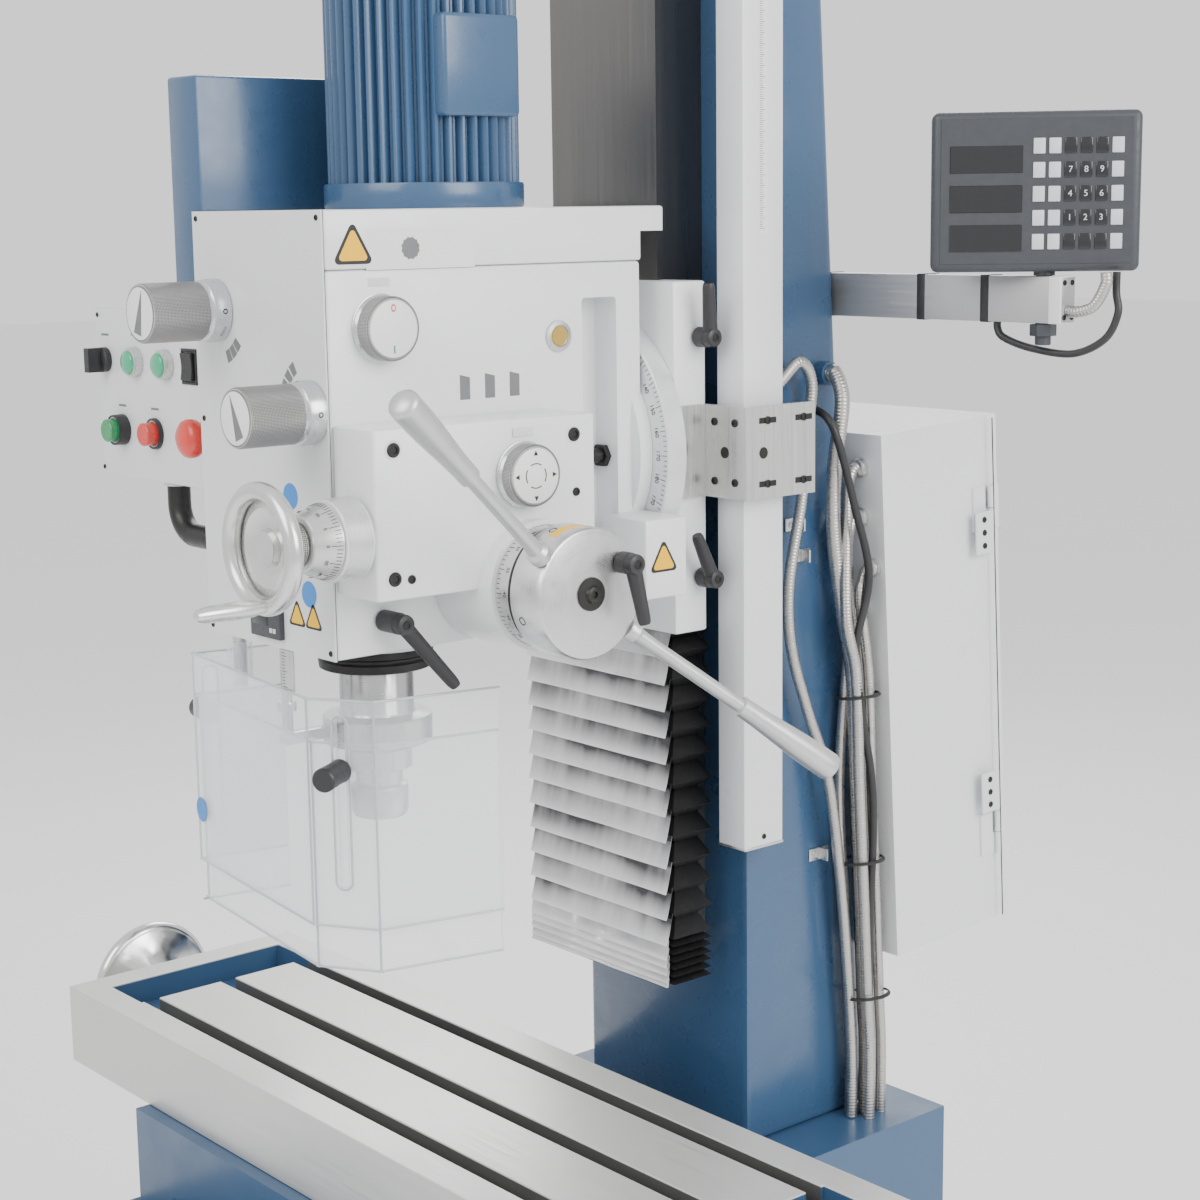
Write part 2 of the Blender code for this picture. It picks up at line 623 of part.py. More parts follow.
def make_carriage():
    """The carriage grips the dovetail way. It carries the swivel disc, the scale bracket and the bellows' top."""
    white = (WHITE, 0.35, 0)
    carriage = box(
        "carriage", (-CARRIAGE_HALF, CARRIAGE_FRONT, CARRIAGE_BOTTOM),
        (CARRIAGE_HALF, CARRIAGE_BACK, CARRIAGE_TOP), white
    )
    edge = carriage.modifiers.new("edge", "BEVEL")
    edge.width = 0.003
    edge.segments = 2
    tip = WAY_HALF + WAY_SPREAD + GAP
    y_tip = COLUMN_FRONT - WAY_PROUD
    neck = WAY_HALF + GAP
    shape = [(-tip, y_tip - GAP), (tip, y_tip - GAP), (tip, y_tip), (neck, y_tip + 0.024), (neck, 0.5)]
    shape += [(-x, y) for x, y in reversed(shape[2:])]
    cut(carriage, prism("dovetail", shape, CARRIAGE_BOTTOM - 1, CARRIAGE_TOP + 1))

    disc_back = CARRIAGE_FRONT - GAP
    profile = [(DISC_RADIUS - 0.002, DISC_THICK), (DISC_RADIUS, DISC_THICK - 0.002), (DISC_RADIUS, 0)]
    turned("swivel_disc", (0, disc_back, DISC_Z), (0, -1, 0), profile, white, steps=64)

    side = CARRIAGE_HALF + GAP
    z = (1.333, 1.428)
    outer = 0.196
    thick = 0.006
    bend = CARRIAGE_BACK - 0.007
    bracket = box(
        "scale_bracket", (side, 0.289, z[0]), (side + thick, bend + thick, z[1]), (STEEL, 0.35, 0.9)
    )
    bridge = box("bracket_bridge", (side + 0.001, bend, z[0]), (outer, bend + thick, z[1]))
    wing = box("bracket_wing", (outer - thick, bend + 0.001, z[0]), (outer, 0.425, z[1]))
    beside = COLUMN_HALF + GAP + HOUSING_WIDTH + 0.001
    reader = box(
        "scale_reader", (beside, HOUSING_FRONT + 0.007, z[0] + 0.02),
        (outer - 0.004, HOUSING_BACK - 0.005, z[1] - 0.02)
    )
    join(bracket, bridge, wing, reader)

    low = (-BELLOWS_HALF, BELLOWS_FRONT, BELLOWS_BOTTOM)
    high = (BELLOWS_HALF, BELLOWS_BACK, CARRIAGE_BOTTOM - GAP)
    bellows = box("way_bellows", low, high, (BLACK, 0.6, 0))
    inner = tip + 0.003
    cut(bellows, box("bellows_inside", (-inner, y_tip - 0.004, 0), (inner, 1, 2)))

    face = (CARRIAGE_HALF, 0.320, 1.497)
    clamp_lever("carriage_lever_upper", face, (1, 0, 0), (0.10, -0.14, 1), 0.056, 0.028)
    face = (CARRIAGE_HALF, 0.322, 1.248)
    clamp_lever("carriage_lever_lower", face, (1, 0, 0), (0.10, -0.55, 1), 0.056, 0.028)


def make_head():
    """The head casting with its gear pocket, quill bore and side recesses, and the covers that close it."""
    white = (WHITE, 0.35, 0)
    seam = HEAD_TOP - LID_HEIGHT
    head = box("head", (-HEAD_HALF, HEAD_FRONT, HEAD_BOTTOM), (HEAD_HALF, HEAD_BACK, seam - GAP), white)
    edge = head.modifiers.new("edge", "BEVEL")
    edge.width = 0.004
    edge.segments = 2
    flange_back = CARRIAGE_FRONT - GAP - DISC_THICK - GAP
    join(
        head,
        rod(
            "head_flange", (0, HEAD_BACK - 0.014, DISC_Z), (0, flange_back, DISC_Z), HEAD_FLANGE,
            sides=64
        )
    )
    join(head, rod("head_boss", (0, 0, HEAD_BOTTOM + 0.02), (0, 0, HEAD_BOTTOM - 0.012), 0.068, sides=32))
    for side in (-1, 1):
        inner = side * (HEAD_HALF - 0.034)
        outer = side * (HEAD_HALF + 0.1)
        low = (min(inner, outer), 0.181, 1.235)
        cut(head, box(f"recess_{side}", low, (max(inner, outer), 0.226, 1.541), bevel=0.004))
    pocket_low = 1.470
    cut(head, box("gear_pocket", (-0.09, -0.095, pocket_low), (0.09, 0.165, seam + 1)))
    cut(head, box("rear_pocket", (-0.07, 0.065, 1.27), (0.07, 0.165, seam + 1)))
    cut(
        head,
        rod(
            "quill_bore", (0, 0, HEAD_BOTTOM - 0.1), (0, 0, pocket_low + 0.01), QUILL_RADIUS + RUNNING,
            sides=32
        )
    )
    cut(head, rod("stop_rod_bore", (*STOP_ROD, HEAD_BOTTOM - 0.1), (*STOP_ROD, 1.40), 0.0065, sides=12))

    lid = box(
        "top_cover", (-HEAD_HALF, HEAD_FRONT, seam), (HEAD_HALF, LID_BACK, HEAD_TOP), white, bevel=0.003
    )
    step = box("lid_step", (-0.2, HEAD_BACK, seam - 0.1), (0.2, LID_BACK + 0.1, HEAD_TOP - LID_LIP))
    cut(lid, step)
    front = HEAD_FRONT - GAP
    box(
        "front_plate", (-HEAD_HALF, front - PLATE_THICK, HEAD_BOTTOM), (HEAD_HALF, front, HEAD_TOP),
        (WHITE, 0.3, 0.2)
    )

    side = HEAD_HALF + GAP
    far = FEED_BOX_OUT + FEED_BOX_FLARE
    outline = [
        (side, HEAD_FRONT + 0.002), (FEED_BOX_OUT, HEAD_FRONT + 0.002), (far, FEED_BOX_BACK),
        (side, FEED_BOX_BACK)
    ]
    feed_box = prism("feed_box", outline, *FEED_BOX_Z, white)
    edge = feed_box.modifiers.new("edge", "BEVEL")
    edge.width = 0.003
    edge.segments = 2
    join(
        feed_box,
        rod("feed_drum", (side + GAP, HUB_Y, HUB_Z), (DRUM_END, HUB_Y, HUB_Z), DRUM_RADIUS, sides=48)
    )
    spigot = (FINE_X, HEAD_FRONT + 0.012, FINE_Z)
    boss_back = HEAD_FRONT - PLATE_THICK - 2 * GAP
    join(feed_box, rod("fine_spigot", spigot, (FINE_X, boss_back - 0.002, FINE_Z), 0.030, sides=32))
    join(
        feed_box,
        rod(
            "fine_boss", (FINE_X, boss_back, FINE_Z), (FINE_X, FINE_BOSS_FRONT, FINE_Z), 0.0377, sides=32
        )
    )
    box("switch_box", (side, 0.203, 1.243), (0.180, 0.258, 1.323), white, bevel=0.003)
    ring_top = HEAD_BOTTOM - 0.012 - GAP
    ring = rod(
        "quill_ring", (0, 0, ring_top), (0, 0, ring_top - 0.024), RING_RADIUS, (BLACK, 0.5, 0), sides=32
    )
    cut(ring, rod("ring_bore", (0, 0, 1), (0, 0, 1.4), QUILL_RADIUS + RUNNING, sides=32))

    blue = (BLUE, 0.4, 0)
    foot = HEAD_TOP + GAP
    rise = [
        (0.088, 0.285), (0.094, 0.279), (0.094, 0.235), (0.086, 0.230), (0.086, 0.022), (0.100, 0.018),
        (0.100, 0)
    ]
    turned("spindle_motor", (0, 0.075, foot), (0, 0, 1), rise, blue, steps=48)
    box("side_box", (-0.168, -0.112, 1.545), (-side, 0.13, 1.76), blue, bevel=0.004)


def make_quill():
    """The quill with its bearing cap, the spindle nose that turns in it, and the depth stop rod."""
    quill = turned("quill", (0, 0, QUILL_TOP), (0, 0, -1), [
        (0.030, 0.345), (0.0555, 0.345), (0.0555, 0.318), (QUILL_RADIUS, 0.314), (QUILL_RADIUS, 0),
    ], (STEEL, 0.3, 0.9))
    x, y = STOP_ROD
    bottom = QUILL_TOP - 0.333
    arm = box("stop_arm", (x - 0.007, y - 0.006, bottom - 0.006), (x + 0.007, -0.045, bottom + 0.006))
    stem = rod("stop_stem", (x, y, bottom - 0.005), (x, y, 1.31), 0.0055, sides=12)
    join(quill, arm, stem)
    nose = QUILL_TOP - 0.345 - GAP
    turned("spindle", (0, 0, nose), (0, 0, -1), [
        (0.016, 0.077), (0.026, 0.077), (0.029, 0.072), (0.029, 0.046), (0.024, 0.043),
        (0.024, 0.030), (0.034, 0.027), (0.034, 0.006), (0.028, 0.004), (0.028, 0),
    ], (STEEL, 0.25, 1.0))


def knob(name, centre, axis, length, radius, hub):
    """A knurled knob: a thin flange at its foot and a chamfered cap."""
    profile = [
        (radius - 0.003, length), (radius, length - 0.003), (radius, hub + 0.004),
        (radius + 0.002, hub), (radius + 0.002, 0),
    ]
    seat = Vector(centre) + Vector(axis) * GAP
    return turned(name, seat, axis, profile, (STEEL, 0.35, 0.9))


def make_controls():
    plate = HEAD_FRONT - GAP - PLATE_THICK
    knob("speed_knob_left", (-0.073, plate, 1.536), (0, -1, 0), 0.083, 0.0285, 0.018)
    knob("speed_knob_right", (0.086, plate, 1.447), (0, -1, 0), 0.080, 0.0280, 0.018)
    knob("gear_knob", (HEAD_HALF, -0.061, 1.522), (1, 0, 0), 0.022, 0.0300, 0.002)
    face = FEED_BOX_OUT + FEED_BOX_FLARE * (0.045 - HEAD_FRONT) / (FEED_BOX_BACK - HEAD_FRONT)
    slant = Vector((FEED_BOX_BACK - HEAD_FRONT - 0.002, -FEED_BOX_FLARE, 0)).normalized()
    knob("feed_knob", (face + 0.0006, 0.045, 1.384), slant, 0.020, 0.0295, 0.002)

    drum_end = DRUM_END + GAP
    turned("feed_hub", (drum_end, HUB_Y, HUB_Z), (1, 0, 0), [
        (
            HUB_RADIUS - 0.002, HUB_LENGTH
        ), (HUB_RADIUS, HUB_LENGTH - 0.002), (HUB_RADIUS, 0.0255), (0.056, 0.0255),
        (0.056, 0.0205), (0.058, 0.0205), (0.058, 0),
    ], (STEEL, 0.35, 0.9), steps=48)
    hub_middle = Vector((drum_end + SPOKE_AT, HUB_Y, HUB_Z))
    for index, angle in enumerate((SPOKE_ANGLE, SPOKE_ANGLE + pi)):
        out = Vector((sin(SPOKE_TILT), cos(SPOKE_TILT) * cos(angle), cos(SPOKE_TILT) * sin(angle)))
        name = f"feed_spoke_{index + 1}"
        start_point = hub_middle + out * (HUB_RADIUS / cos(SPOKE_TILT) + 0.003)
        grip_start = hub_middle + out * (SPOKE_LENGTH - GRIP_LENGTH)
        end = hub_middle + out * SPOKE_LENGTH
        spoke = rod(
            name, start_point, grip_start + out * 0.01, 0.0075, (STEEL, 0.3, 0.8), sides=12,
            origin=hub_middle
        )
        grip = rod(name + "_grip", grip_start, end, 0.0105, end_radius=0.0145, sides=16)
        join(spoke, grip)
    seat = (drum_end + HUB_LENGTH, HUB_Y + 0.036, HUB_Z + 0.026)
    clamp_lever("feed_hub_lever", seat, (1, 0, 0), (0.12, 0.15, -1), 0.058, 0.026)

    boss_front = FINE_BOSS_FRONT - GAP
    dial = [(0.024, 0.027), (0.026, 0.025), (0.0355, 0.002), (0.0355, 0)]
    turned("fine_dial", (FINE_X, boss_front, FINE_Z), (0, -1, 0), dial, (STEEL, 0.3, 0.9))
    fine_feed_wheel((FINE_X, boss_front - 0.027 - GAP, FINE_Z))

    seat = (HEAD_HALF, -0.068, 1.250)
    clamp_lever("quill_clamp_lever", seat, (1, 0, 0), (0.10, 0.62, -0.75), 0.085, 0.040)


def fine_feed_wheel(origin):
    """The small dished handwheel of the fine feed, with a collar behind it and a handle at its lower edge."""
    radius = 0.060
    profile = [
        (0.016, 0.034), (0.018, 0.026), (
            radius * 0.78, 0.034
        ), (radius * 0.82, 0.046), (radius * 0.95, 0.046),
        (radius, 0.041), (radius, 0.030), (radius * 0.92, 0.025), (0.022, 0.014), (0.020, 0),
    ]
    wheel = turned("fine_feed_wheel", origin, (0, -1, 0), profile, (STEEL, 0.25, 0.9))
    spot = Vector(origin) + Vector((0.012, -0.041, -radius * 0.82))
    handle = rod("fine_handle", spot, spot + Vector((0, -0.075, 0.003)), 0.0065, end_radius=0.009, sides=12)
    join(wheel, handle)


def push_button(name, panel, centre, radius, height, bezel, color):
    """A button that slides in a well in the panel, inside a raised bezel."""
    x, face, z = centre
    join(panel, rod(name + "_bezel", (x, face + 0.005, z), (x, face - bezel, z), radius + 0.0025, sides=24))
    cut(
        panel,
        rod(name + "_well", (x, face + BUTTON_WELL, z), (x, face - 0.1, z), radius + RUNNING, sides=24)
    )
    profile = [
        (radius - 0.001, height + BUTTON_STROKE), (radius, height + BUTTON_STROKE - 0.001),
        (radius, BUTTON_STROKE + GAP - BUTTON_WELL)
    ]
    turned(name, centre, (0, -1, 0), profile, (color, 0.4, 0), steps=24)


def make_panel():
    """The control panel turns on a bent tube from the head's left flank."""
    p = PANEL
    x, y = PANEL_PIVOT
    white = (WHITE, 0.35, 0)
    low = (p["left"], p["face"], p["bottom"])
    panel = box(
        "control_panel", low, (p["right"], p["back"], p["top"]), white, origin=(x, y, p["bottom"]),
        bevel=0.003
    )
    upper = 1.473
    lower = 1.399
    for index, place_x in enumerate((-0.323, -0.259)):
        front = (place_x, p["face"] - 0.010, upper)
        join(panel, rod(f"lamp_{index}", (place_x, p["face"] + 0.005, upper), front, 0.0135, sides=20))
    socket = rod("tube_socket", (x, y, p["bottom"] + 0.01), (x, y, p["bottom"] - 0.006), 0.016, sides=16)
    join(panel, socket)

    face = p["face"]
    ahead = (0, -1, 0)
    seat = (-0.389, face - GAP, upper)
    selector = turned(
        "mode_selector", seat, ahead, [(0.011, 0.008), (0.0135, 0.006), (0.0135, 0)], (BLACK, 0.4, 0),
        steps=24
    )
    join(
        selector,
        box("selector_bar", (-0.394, face - 0.024, upper - 0.013), (-0.384, face - 0.006, upper + 0.013))
    )
    wide = 0.0105
    tall = 0.014
    middle = -0.2105
    clear = 0.0015
    cut(panel, box("rocker_well", (middle - wide - clear, face - 0.1, upper - tall - clear),
                   (middle + wide + clear, face + 0.006, upper + tall + clear)))
    pivot = (middle, face - 0.002, upper)
    box("rocker_switch", (middle - wide, face - 0.006, upper - tall), (middle + wide, face, upper + tall),
        (BLACK, 0.3, 0), origin=pivot)
    push_button("start_button", panel, (-0.357, face, lower), 0.0125, 0.017, 0.012, (0.02, 0.35, 0.1))
    push_button("stop_button", panel, (-0.287, face, lower), 0.0125, 0.012, 0.004, (0.8, 0.12, 0.08))
    stem = 0.012
    place_at = (-0.158, face, 1.405)
    join(
        panel,
        rod(
            "stop_collar", (place_at[0], face + 0.005, place_at[2]),
            (place_at[0], face - 0.012, place_at[2]), 0.022, sides=24
        )
    )
    cut(
        panel,
        rod(
            "stop_bore", (place_at[0], face + BUTTON_WELL, place_at[2]),
            (place_at[0], face - 0.1, place_at[2]), stem + RUNNING, sides=24
        )
    )
    mushroom = [
        (0.012, 0.044), (0.018, 0.041), (0.020, 0.036), (0.019, 0.028), (stem, 0.024), (
            stem, BUTTON_STROKE + GAP - BUTTON_WELL
        ),
    ]
    turned("emergency_stop", place_at, ahead, mushroom, ((0.75, 0.03, 0.03), 0.35, 0), steps=24)

    side = HEAD_HALF + GAP
    top = p["bottom"] - 0.006 - GAP
    z = TUBE_Z
    route = [
        (x, y, top), (x, y, z + 0.032), (x + 0.008, y, z + 0.010), (x + 0.032, y, z),
        (-side - 0.03, y, z), (-side, y, z)
    ]
    tube("panel_tube", route, 0.0125, (BLACK, 0.4, 0), sides=3)


def inset_plan(inset):
    """The guard's plan moved towards the spindle, with its corners mitred."""
    points = [Vector(point) for point in GUARD_PLAN]
    moved = []
    for index, point in enumerate(points):
        normals = []
        for first, second in ((index - 1, index), (index, index + 1)):
            if first >= 0 and second < len(points):
                run = (points[second] - points[first]).normalized()
                normals.append(Vector((-run.y, run.x)))
        mean = sum(normals, Vector((0, 0))).normalized()
        moved.append(point + mean * inset / mean.dot(normals[0]))
    return moved


def guard_wall(name, inset, bottom, top, material):
    """One clear wall bent along the guard's plan."""
    outline = inset_plan(inset) + list(reversed(inset_plan(inset + GUARD_THICK)))
    return prism(name, [tuple(point) for point in outline], bottom, top, material)


def guard_clamp(name, wall, share, upper):
    """A clamp knob on a wall of the guard. Its stud passes through an upright slot in the upper shield."""
    first = Vector(GUARD_PLAN[wall])
    run = Vector(GUARD_PLAN[wall + 1]) - first
    spot = first + run * share
    out = Vector((run.y, -run.x, 0)).normalized()
    turn = out.to_track_quat("Z", "Y")
    height = GUARD_SLOT[1] - GUARD_SLOT[0]
    width = STUD_RADIUS + RUNNING
    slot = box(name + "_slot", (-width, -0.02, 0), (width, 0.02, height - width), origin=(0, 0, 0))
    slot.location = (spot.x, spot.y, GUARD_SLOT[0])
    slot.rotation_euler = (0, 0, run.angle_signed(Vector((1, 0))))
    crown = Vector((spot.x, spot.y, GUARD_SLOT[1] - width))
    cut(upper, slot, rod(name + "_crown", crown - out * 0.02, crown + out * 0.02, width, sides=16))
    seat = Vector((spot.x, spot.y, GUARD_CLAMP_Z)) - out * (GUARD_THICK + GAP)
    face = GUARD_THICK + 2 * GAP
    profile = [
        (0.0105, face + 0.042), (0.0118, face + 0.040), (0.0118, face), (STUD_RADIUS, face),
        (STUD_RADIUS, 0)
    ]
    turned(name, seat, out, profile, (BLACK, 0.4, 0), steps=16)


def make_guard():
    """A swinging clear guard on a post under the head, with a lower shield that slides up inside it."""
    clear = ((0.9, 0.93, 0.96), 0.1, 0)
    side = HEAD_HALF + GAP
    x, y = GUARD_POST
    post = rod("guard_post", (x, y, 1.262), (x, y, 1.150), 0.007, (STEEL, 0.3, 0.9), sides=16)
    join(post, box("post_bracket", (x - 0.010, y - 0.010, 1.232), (-side, y + 0.010, 1.256)))
    upper = guard_wall("guard_upper", 0, GUARD_SPLIT, GUARD_TOP, clear)
    sleeve = rod("guard_sleeve", (x, y, 1.196), (x, y, 1.160), 0.013, sides=16)
    arm = box("guard_arm", (-0.193, y - 0.008, 1.168), (x, y + 0.008, GUARD_TOP - 0.001))
    join(upper, sleeve, arm)
    cut(upper, rod("sleeve_bore", (x, y, 1.3), (x, y, 1.1), 0.007 + RUNNING, sides=16))
    guard_wall("guard_lower", GUARD_THICK + 2 * GAP, GUARD_LOW, GUARD_LOWER_TOP, clear)
    guard_clamp("guard_knob_left", 0, 0.8, upper)
    guard_clamp("guard_knob_right", 2, 0.5, upper)


def main():
    start()
    make_base()
    make_saddle()
    make_table()
    handwheel("x_handwheel", (TABLE_LEFT - GAP, -0.046, 0.751), (-1, 0, 0), 0.072, (0.6, -0.8))
    handwheel("y_handwheel", (0, BASE_FRONT + PEDESTAL_INSET - GAP, 0.52), (0, -1, 0), 0.072, (0.6, 0.8))
    make_column()
    make_cabinet()
    make_readout()
    make_conduits()
    make_carriage()
    make_head()
    make_quill()
    make_controls()
    make_panel()
    make_guard()


main()
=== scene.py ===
import json
from math import atan, cos, pi, radians, sin

import bmesh
import bpy
import numpy as np
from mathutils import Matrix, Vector


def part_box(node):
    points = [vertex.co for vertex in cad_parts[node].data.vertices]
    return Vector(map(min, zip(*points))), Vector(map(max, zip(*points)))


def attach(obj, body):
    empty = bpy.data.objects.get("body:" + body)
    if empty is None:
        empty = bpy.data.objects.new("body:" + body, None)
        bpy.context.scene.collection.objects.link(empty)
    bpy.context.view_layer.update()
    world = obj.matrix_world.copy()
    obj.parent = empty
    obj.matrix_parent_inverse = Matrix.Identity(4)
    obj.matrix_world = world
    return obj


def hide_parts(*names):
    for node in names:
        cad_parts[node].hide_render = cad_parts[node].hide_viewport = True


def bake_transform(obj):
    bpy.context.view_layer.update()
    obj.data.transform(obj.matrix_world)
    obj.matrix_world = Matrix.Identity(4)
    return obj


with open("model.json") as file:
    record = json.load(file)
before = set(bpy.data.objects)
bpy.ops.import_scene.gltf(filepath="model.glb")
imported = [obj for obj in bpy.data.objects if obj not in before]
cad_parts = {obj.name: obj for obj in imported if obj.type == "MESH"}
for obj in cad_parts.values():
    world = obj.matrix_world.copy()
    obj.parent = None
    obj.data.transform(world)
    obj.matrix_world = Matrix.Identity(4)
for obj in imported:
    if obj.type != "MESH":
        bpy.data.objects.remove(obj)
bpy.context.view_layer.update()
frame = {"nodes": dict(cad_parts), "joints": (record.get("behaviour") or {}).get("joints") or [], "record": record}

bodyOf = {node: body for body, nodes in frame["record"]["behaviour"]["bodies"].items() for node in nodes}
jointOf = {joint["child"]: joint for joint in frame["joints"]}
right, ahead, up = (1, 0, 0), (0, -1, 0), (0, 0, 1)
shown = set()
print("frame loaded")


cameraPlace = {"spot": (1.8211, -1.2465, 1.6283), "turn": (80.0575, 0.7613, 49.6222), "lens": 67.12}
lightPlan = {
    "front key": {"spot": (0.4, -3.2, 3.6), "aim": (0.1, 0.1, 1.2), "size": 2.6, "power": 95},
    "right fill": {"spot": (3.6, 0.6, 2.9), "aim": (0.1, 0.2, 1.2), "size": 2.4, "power": 140},
    "back rim": {"spot": (-2.6, 2.6, 3.4), "aim": (0.0, 0.3, 1.2), "size": 2.0, "power": 75},
}


def aimedAt(spot, aim):
    return (Vector(aim) - Vector(spot)).to_track_quat("-Z", "Y").to_euler()


def makeStage():
    camera = bpy.data.cameras.new("camera")
    camera.lens = cameraPlace["lens"]
    camera.sensor_width = 36
    holder = bpy.data.objects.new("camera", camera)
    holder.location = cameraPlace["spot"]
    holder.rotation_euler = [radians(turn) for turn in cameraPlace["turn"]]
    bpy.context.scene.collection.objects.link(holder)
    bpy.context.scene.camera = holder
    for name, plan in lightPlan.items():
        light = bpy.data.lights.new(name, "AREA")
        light.size = plan["size"]
        light.energy = plan["power"]
        lamp = bpy.data.objects.new(name, light)
        lamp.location = plan["spot"]
        lamp.rotation_euler = aimedAt(plan["spot"], plan["aim"])
        bpy.context.scene.collection.objects.link(lamp)
    world = bpy.data.worlds.new("studio")
    world.use_nodes = True
    world.node_tree.nodes["Background"].inputs["Color"].default_value = (1.0, 1.0, 1.0, 1)
    world.node_tree.nodes["Background"].inputs["Strength"].default_value = 1.18
    bpy.context.scene.world = world


makeStage()
print("camera and light ready")


def freshMaterial(name, **fixed):
    material = bpy.data.materials.new(name)
    material.use_nodes = True
    shader = material.node_tree.nodes["Principled BSDF"]
    for socket, value in fixed.items():
        shader.inputs[socket.replace("_", " ")].default_value = value
    return material, material.node_tree, shader


def addNode(tree, kind, inputs=None, **settings):
    made = tree.nodes.new("ShaderNode" + kind)
    for key, value in settings.items():
        setattr(made, key, value)
    for key, value in (inputs or {}).items():
        if isinstance(value, bpy.types.NodeSocket):
            tree.links.new(value, made.inputs[key])
        else:
            made.inputs[key].default_value = value
    return made


def objectPoint(tree):
    return addNode(tree, "TexCoord").outputs["Object"]


def computed(tree, kind, a, b=0.5):
    return addNode(tree, "Math", {0: a, 1: b}, operation=kind).outputs[0]


def times(tree, a, b):
    return computed(tree, "MULTIPLY", a, b)


def plus(tree, a, b):
    return computed(tree, "ADD", a, b)


def toned(tree, value, dark, light):
    # blends between two colours by a value from 0 to 1
    mix = addNode(tree, "Mix", {0: value, 6: (*dark, 1), 7: (*light, 1)}, data_type="RGBA")
    return mix.outputs[2]


def bumped(tree, shader, height, strength, distance):
    bump = addNode(tree, "Bump", {"Height": height, "Strength": strength, "Distance": distance})
    tree.links.new(bump.outputs[0], shader.inputs["Normal"])


def remapped(tree, value, before, after):
    ends = {"From Min": before[0], "From Max": before[1], "To Min": after[0], "To Max": after[1]}
    return addNode(tree, "MapRange", {"Value": value, **ends}).outputs[0]


def noise(tree, point, scale, detail=2.0):
    return addNode(tree, "TexNoise", {"Vector": point, "Scale": scale, "Detail": detail}).outputs[0]


def stretched(tree, point, scale):
    return addNode(tree, "Mapping", {"Vector": point, "Scale": scale}).outputs[0]


def shaded(tree, shader, tone, colour, shade, wear, rough):
    # tone picks a colour between a darker shade and the given one, and wear picks the roughness
    dark = [channel * shade for channel in colour]
    tree.links.new(toned(tree, tone, dark, colour), shader.inputs["Base Color"])
    tree.links.new(remapped(tree, wear, (0.3, 0.7), rough), shader.inputs["Roughness"])


def paintFinish(name, colour, gloss=0.3, peel=0.12, coat=0.25):
    # sprayed enamel: soft mottling, an orange-peel skin and patches of more and less gloss
    material, tree, shader = freshMaterial(name, Coat_Weight=coat, Coat_Roughness=0.15)
    point = objectPoint(tree)
    wear = noise(tree, point, 35.0, 5.0)
    shaded(tree, shader, noise(tree, point, 5.0, 4.0), colour, 0.93, wear, (gloss - 0.05, gloss + 0.08))
    bumped(tree, shader, noise(tree, point, 520.0, 1.0), peel, 0.0004)
    return material


def castFinish(name, colour):
    # painted casting: the same enamel over a slightly lumpy filled surface
    material, tree, shader = freshMaterial(name, Coat_Weight=0.2, Coat_Roughness=0.2)
    point = objectPoint(tree)
    shaded(
        tree, shader, noise(tree, point, 4.0, 5.0), colour, 0.92, noise(tree, point, 28.0, 4.0),
        (0.28, 0.42)
    )
    grit = times(tree, noise(tree, point, 600.0, 1.0), 0.25)
    bumped(tree, shader, plus(tree, noise(tree, point, 45.0, 2.0), grit), 0.16, 0.0008)
    return material


def groundFinish(name, colour, stretch, rough=0.32, metal=0.9):
    # ground metal: fine scratches drawn out along one direction, with broad darker clouds
    material, tree, shader = freshMaterial(name, Metallic=metal)
    point = objectPoint(tree)
    grain = noise(tree, stretched(tree, point, stretch), 1.0, 6.0)
    tone = times(tree, plus(tree, grain, noise(tree, point, 9.0, 4.0)), 0.5)
    shaded(tree, shader, tone, colour, 0.82, grain, (rough - 0.08, rough + 0.12))
    bumped(tree, shader, grain, 0.1, 0.0003)
    return material


def axisParts(tree, centre, axis):
    # a point's distance along an axis, its distance from it and its angle round it
    point = addNode(
        tree, "VectorMath", {0: objectPoint(tree), 1: tuple(centre)}, operation="SUBTRACT"
    ).outputs[0]
    axis = Vector(axis).normalized()
    side = axis.orthogonal().normalized()
    ways = (axis, side, axis.cross(side))
    dots = [addNode(tree, "VectorMath", {0: point, 1: tuple(way)}, operation="DOT_PRODUCT") for way in ways]
    along, across, other = [dot.outputs["Value"] for dot in dots]
    squares = plus(tree, times(tree, across, across), times(tree, other, other))
    return along, computed(tree, "SQRT", squares), computed(tree, "ARCTAN2", other, across)


def turnedFinish(name, centre, axis, colour=(0.66, 0.66, 0.65), rough=0.26, metal=0.95):
    # lathe-turned metal: rings that depend only on radius and on distance along the axis
    material, tree, shader = freshMaterial(name, Metallic=metal)
    along, radius, _ = axisParts(tree, centre, axis)
    density = 1800.0
    cut = addNode(
        tree, "CombineXYZ", {0: times(tree, radius, density), 1: times(tree, along, density)}
    ).outputs[0]
    rings = noise(tree, cut, 1.0, 3.0)
    tone = times(tree, plus(tree, rings, noise(tree, objectPoint(tree), 60.0, 3.0)), 0.5)
    shaded(tree, shader, tone, colour, 0.8, tone, (rough - 0.08, rough + 0.12))
    bumped(tree, shader, rings, 0.12, 0.0002)
    return material


def knurlFinish(name, centre, axis, teeth, pitch, colour=(0.50, 0.50, 0.49)):
    # diamond knurling: two families of helical grooves that cross on the round side
    material, tree, shader = freshMaterial(name, Metallic=0.9)
    along, _, angle = axisParts(tree, centre, axis)
    turn = times(tree, angle, float(teeth))
    rise = times(tree, along, 2 * pi / pitch)
    one = computed(tree, "SINE", plus(tree, turn, rise))
    two = computed(tree, "SINE", computed(tree, "SUBTRACT", turn, rise))
    diamonds = times(tree, plus(tree, times(tree, one, two), 1.0), 0.5)
    # painted shade: the grooves between the diamonds are coloured near black
    shaded(tree, shader, diamonds, colour, 0.16, noise(tree, objectPoint(tree), 80.0, 3.0), (0.28, 0.42))
    bumped(tree, shader, diamonds, 0.7, 0.0008)
    return material


